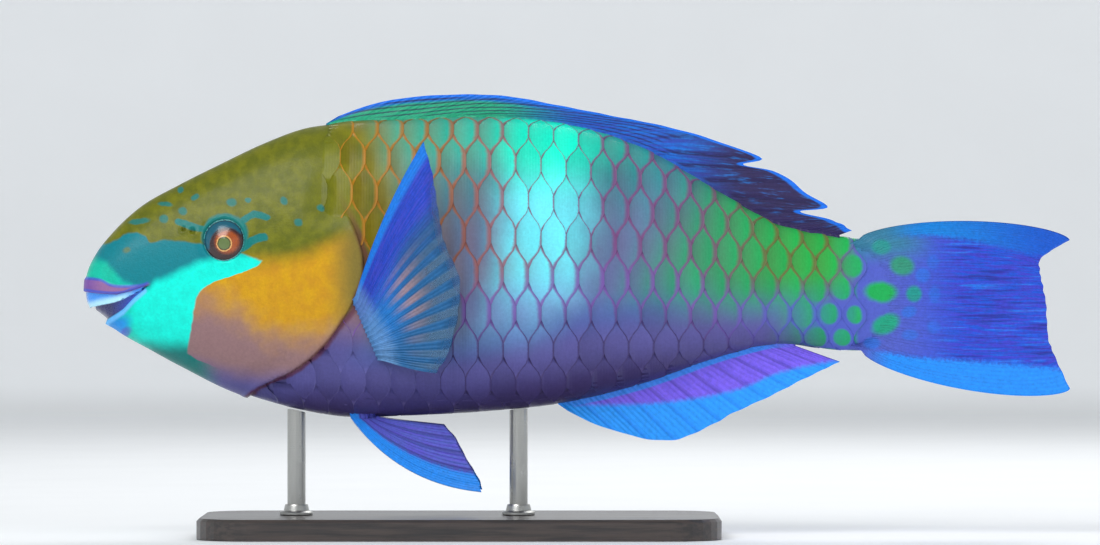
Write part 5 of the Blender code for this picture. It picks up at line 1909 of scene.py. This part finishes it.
@dataclass(frozen=True)
class BaseFinish:
    """Dark lacquered wood of the base, satin, with a fine grain and slightly rubbed edges."""

    dark: Colour = srgb(34, 30, 30)
    light: Colour = srgb(62, 52, 48)
    roughness: float = 0.38
    coat: Pair = (0.4, 0.18)

    def material(self, name: str) -> Material:
        """The finish as a material of the given name."""
        graph = Coating(name)
        _, x, across, height = fish_place(graph)
        grain = graph.join(x * 0.03, across * 0.55, height * 0.55).noise(1, 6, 0.65)
        wear = height.rise(7.4 - AXIS_HEIGHT, 8 - AXIS_HEIGHT)
        rough = grain.remap(0.3, 0.7, self.roughness - 0.05, self.roughness + 0.12) + wear * 0.04
        colour = grain.rise(0.35, 0.65).mix(self.dark, self.light)
        return graph.finish(colour, rough, grain, 0.08, coat=self.coat)


@dataclass(frozen=True)
class RodFinish:
    """Brushed steel of the rods, with fine lines round them."""

    colour: Colour = srgb(196, 196, 192)
    shade: Colour = srgb(150, 150, 148)
    roughness: float = 0.3

    def material(self, name: str) -> Material:
        """The finish as a material of the given name."""
        graph = Coating(name)
        place, _, _, height = fish_place(graph)
        lines = graph.join(0, 0, height * 6).noise(1, 4, 0.7)
        rough = (lines + place.noise(0.2, 3)).remap(0.6, 1.4, self.roughness - 0.08, self.roughness + 0.12)
        graph.feed(graph.shader.inputs["Metallic"], 1)
        return graph.finish(lines.mix(self.shade, self.colour), rough, lines, 0.04)


@dataclass
class Stand:
    """The base and the two rods, whose solids stay, and a collar at the foot of each rod."""

    rods: Pair = (-108, -22.5)
    collar_radius: float = 6.4
    collar_height: float = 4.2
    base_top: float = 8.0

    def collar(self, x: float) -> Surface:
        """A turned collar: a stepped profile of radius and height carried round a rod, closed inside."""
        inner, outer, low, high = 3.55, self.collar_radius, 0.05, self.collar_height
        steps = ((0.3, 0), (0, 0.3), (0, 1.1), (0.5, 1.5), (1.5, 1.8))
        foot = [(outer - less, low + more) for less, more in steps]
        neck = [(outer - 1.9, high - 0.5), (outer - 2.1, high), (inner, high)]
        radius, level = np.transpose([(inner, low), *foot, *neck])
        turns = full_turn(64)[:, None]
        height = self.base_top - AXIS_HEIGHT + level + 0 * turns
        points = np.stack([x + radius * np.cos(turns), radius * np.sin(turns), height], axis=-1)
        return hoop(points, flat=True)

    def build(self) -> list[Piece]:
        """Gives the stand's solids their finishes and makes the collars."""
        base, steel = BaseFinish().material("satin base"), RodFinish().material("brushed steel")
        for name, material in (("stand_base", base), ("stand_rod_front", steel), ("stand_rod_rear", steel)):
            for slot in bpy.data.objects[name].material_slots:
                slot.material = material
        made = []
        for x, word in zip(self.rods, ("front", "rear")):
            made.append(self.collar(x).build(f"stand_collar_{word}", steel, "stand_rod"))
        return made


@dataclass
class Studio:
    """The plain floor and backdrop, the soft lights and the camera."""

    middle: tuple[float, float, float] = (-0.0104, 0, 0.1014)
    distance: float = 2.4
    lens: float = 204.0
    floor_glow: float = 0.2

    def _floor(self) -> None:
        """A pale round floor that curves up into a low wall and glows softly towards it.

        The wall's distance grows by the sine of a quarter turn and its height by one less the cosine.
        """
        flat_end, bend, wall = 3.4, 0.6, 2
        turns = np.linspace(0, math.pi / 2, 12)
        out = np.concatenate([[flat_end - 0.2], flat_end + bend * np.sin(turns), [flat_end + bend]])[:, None]
        rise = np.concatenate([[0], bend * (1 - np.cos(turns)), [wall]])[:, None]
        angles = full_turn(72)
        points = np.stack([out * np.cos(angles), out * np.sin(angles), rise + 0 * angles - 0.0002], axis=-1)
        ring = grid_faces(*points.shape[:2], wrap=True)[:, ::-1].tolist()
        mesh = bpy.data.meshes.new("studio_floor")
        mesh.from_pydata(points.reshape(-1, 3).tolist(), [], [list(range(len(angles))), *ring])
        mesh.shade_smooth()
        graph = Coating("pale floor")
        place = graph.read("TexCoord", "Object")
        pale = place.noise(14, 3).mix(srgb(236, 238, 240), srgb(242, 244, 246))
        strength = place.vector("LENGTH").rise(0.7, 3.4) * self.floor_glow
        glow = {"Emission Color": (0.96, 0.98, 1), "Emission Strength": strength}
        graph.fill(graph.shader, {"Base Color": pale, "Roughness": 0.8} | glow)
        graph.made.cycles.emission_sampling = "NONE"
        mesh.materials.append(graph.made)
        floor = bpy.data.objects.new("studio_floor", mesh)
        bpy.context.scene.collection.objects.link(floor)

    def _light(self, name: str, place: tuple, size: float, power: float, mirrored: bool = True) -> None:
        """A square area light that looks at the fish, and shows in its gloss or not."""
        data = bpy.data.lights.new(name, "AREA")
        data.shape, data.size, data.energy = "SQUARE", size, power
        light = bpy.data.objects.new(name, data)
        light.location = place
        light.rotation_euler = (Vector(self.middle) - Vector(place)).to_track_quat("-Z", "Y").to_euler()
        light.visible_glossy = mirrored
        bpy.context.scene.collection.objects.link(light)

    def build(self) -> None:
        """Makes the floor, the lights, the world's light and the camera."""
        self._floor()
        self._light("key light", (-0.75, -1.15, 1.25), 1, 18)
        self._light("fill light", (1.2, -0.9, 0.55), 1.1, 7, mirrored=False)
        self._light("rim light", (0.3, 1, 1.1), 0.8, 9)
        world = bpy.data.worlds.new("studio")
        world.use_nodes = True
        world.node_tree.nodes["Background"].inputs[0].default_value = (0.95, 0.98, 1, 1)
        world.node_tree.nodes["Background"].inputs[1].default_value = 0.4
        bpy.context.scene.world = world
        data = bpy.data.cameras.new("camera")
        data.lens = self.lens
        camera = bpy.data.objects.new("camera", data)
        camera.location = (self.middle[0], self.middle[1] - self.distance, self.middle[2])
        camera.rotation_euler = (math.radians(90), 0, 0)
        bpy.context.scene.collection.objects.link(camera)
        bpy.context.scene.camera = camera
        bpy.context.scene.view_settings.view_transform = "Standard"


def report(pieces: list[Piece]) -> None:
    """Names each piece and its size in the log."""
    for piece in pieces:
        log.info("%s: %d faces", piece.name, len(piece.data.polygons))


def main() -> None:
    """Builds the fish from its skin outwards, then the stand and the studio."""
    logging.basicConfig(level=logging.INFO, format="%(message)s")
    body, head = BodyForm(), HeadForm()
    paint = BodyPaint(head)
    lattice = ScaleLattice(body)
    report([Skin(body, head, SkinFinish(paint)).build()])
    report(ScaleCoat(lattice, head, ScaleFinish(paint, lattice)).build())
    report(Eyes(body, head, EyeFinish()).build())
    report(Beak(body, head, ToothFinish(head.bite_edge)).build())
    report(FinSet(body).build())
    report(Stand().build())
    Studio().build()


if __name__ == "__main__":
    main()
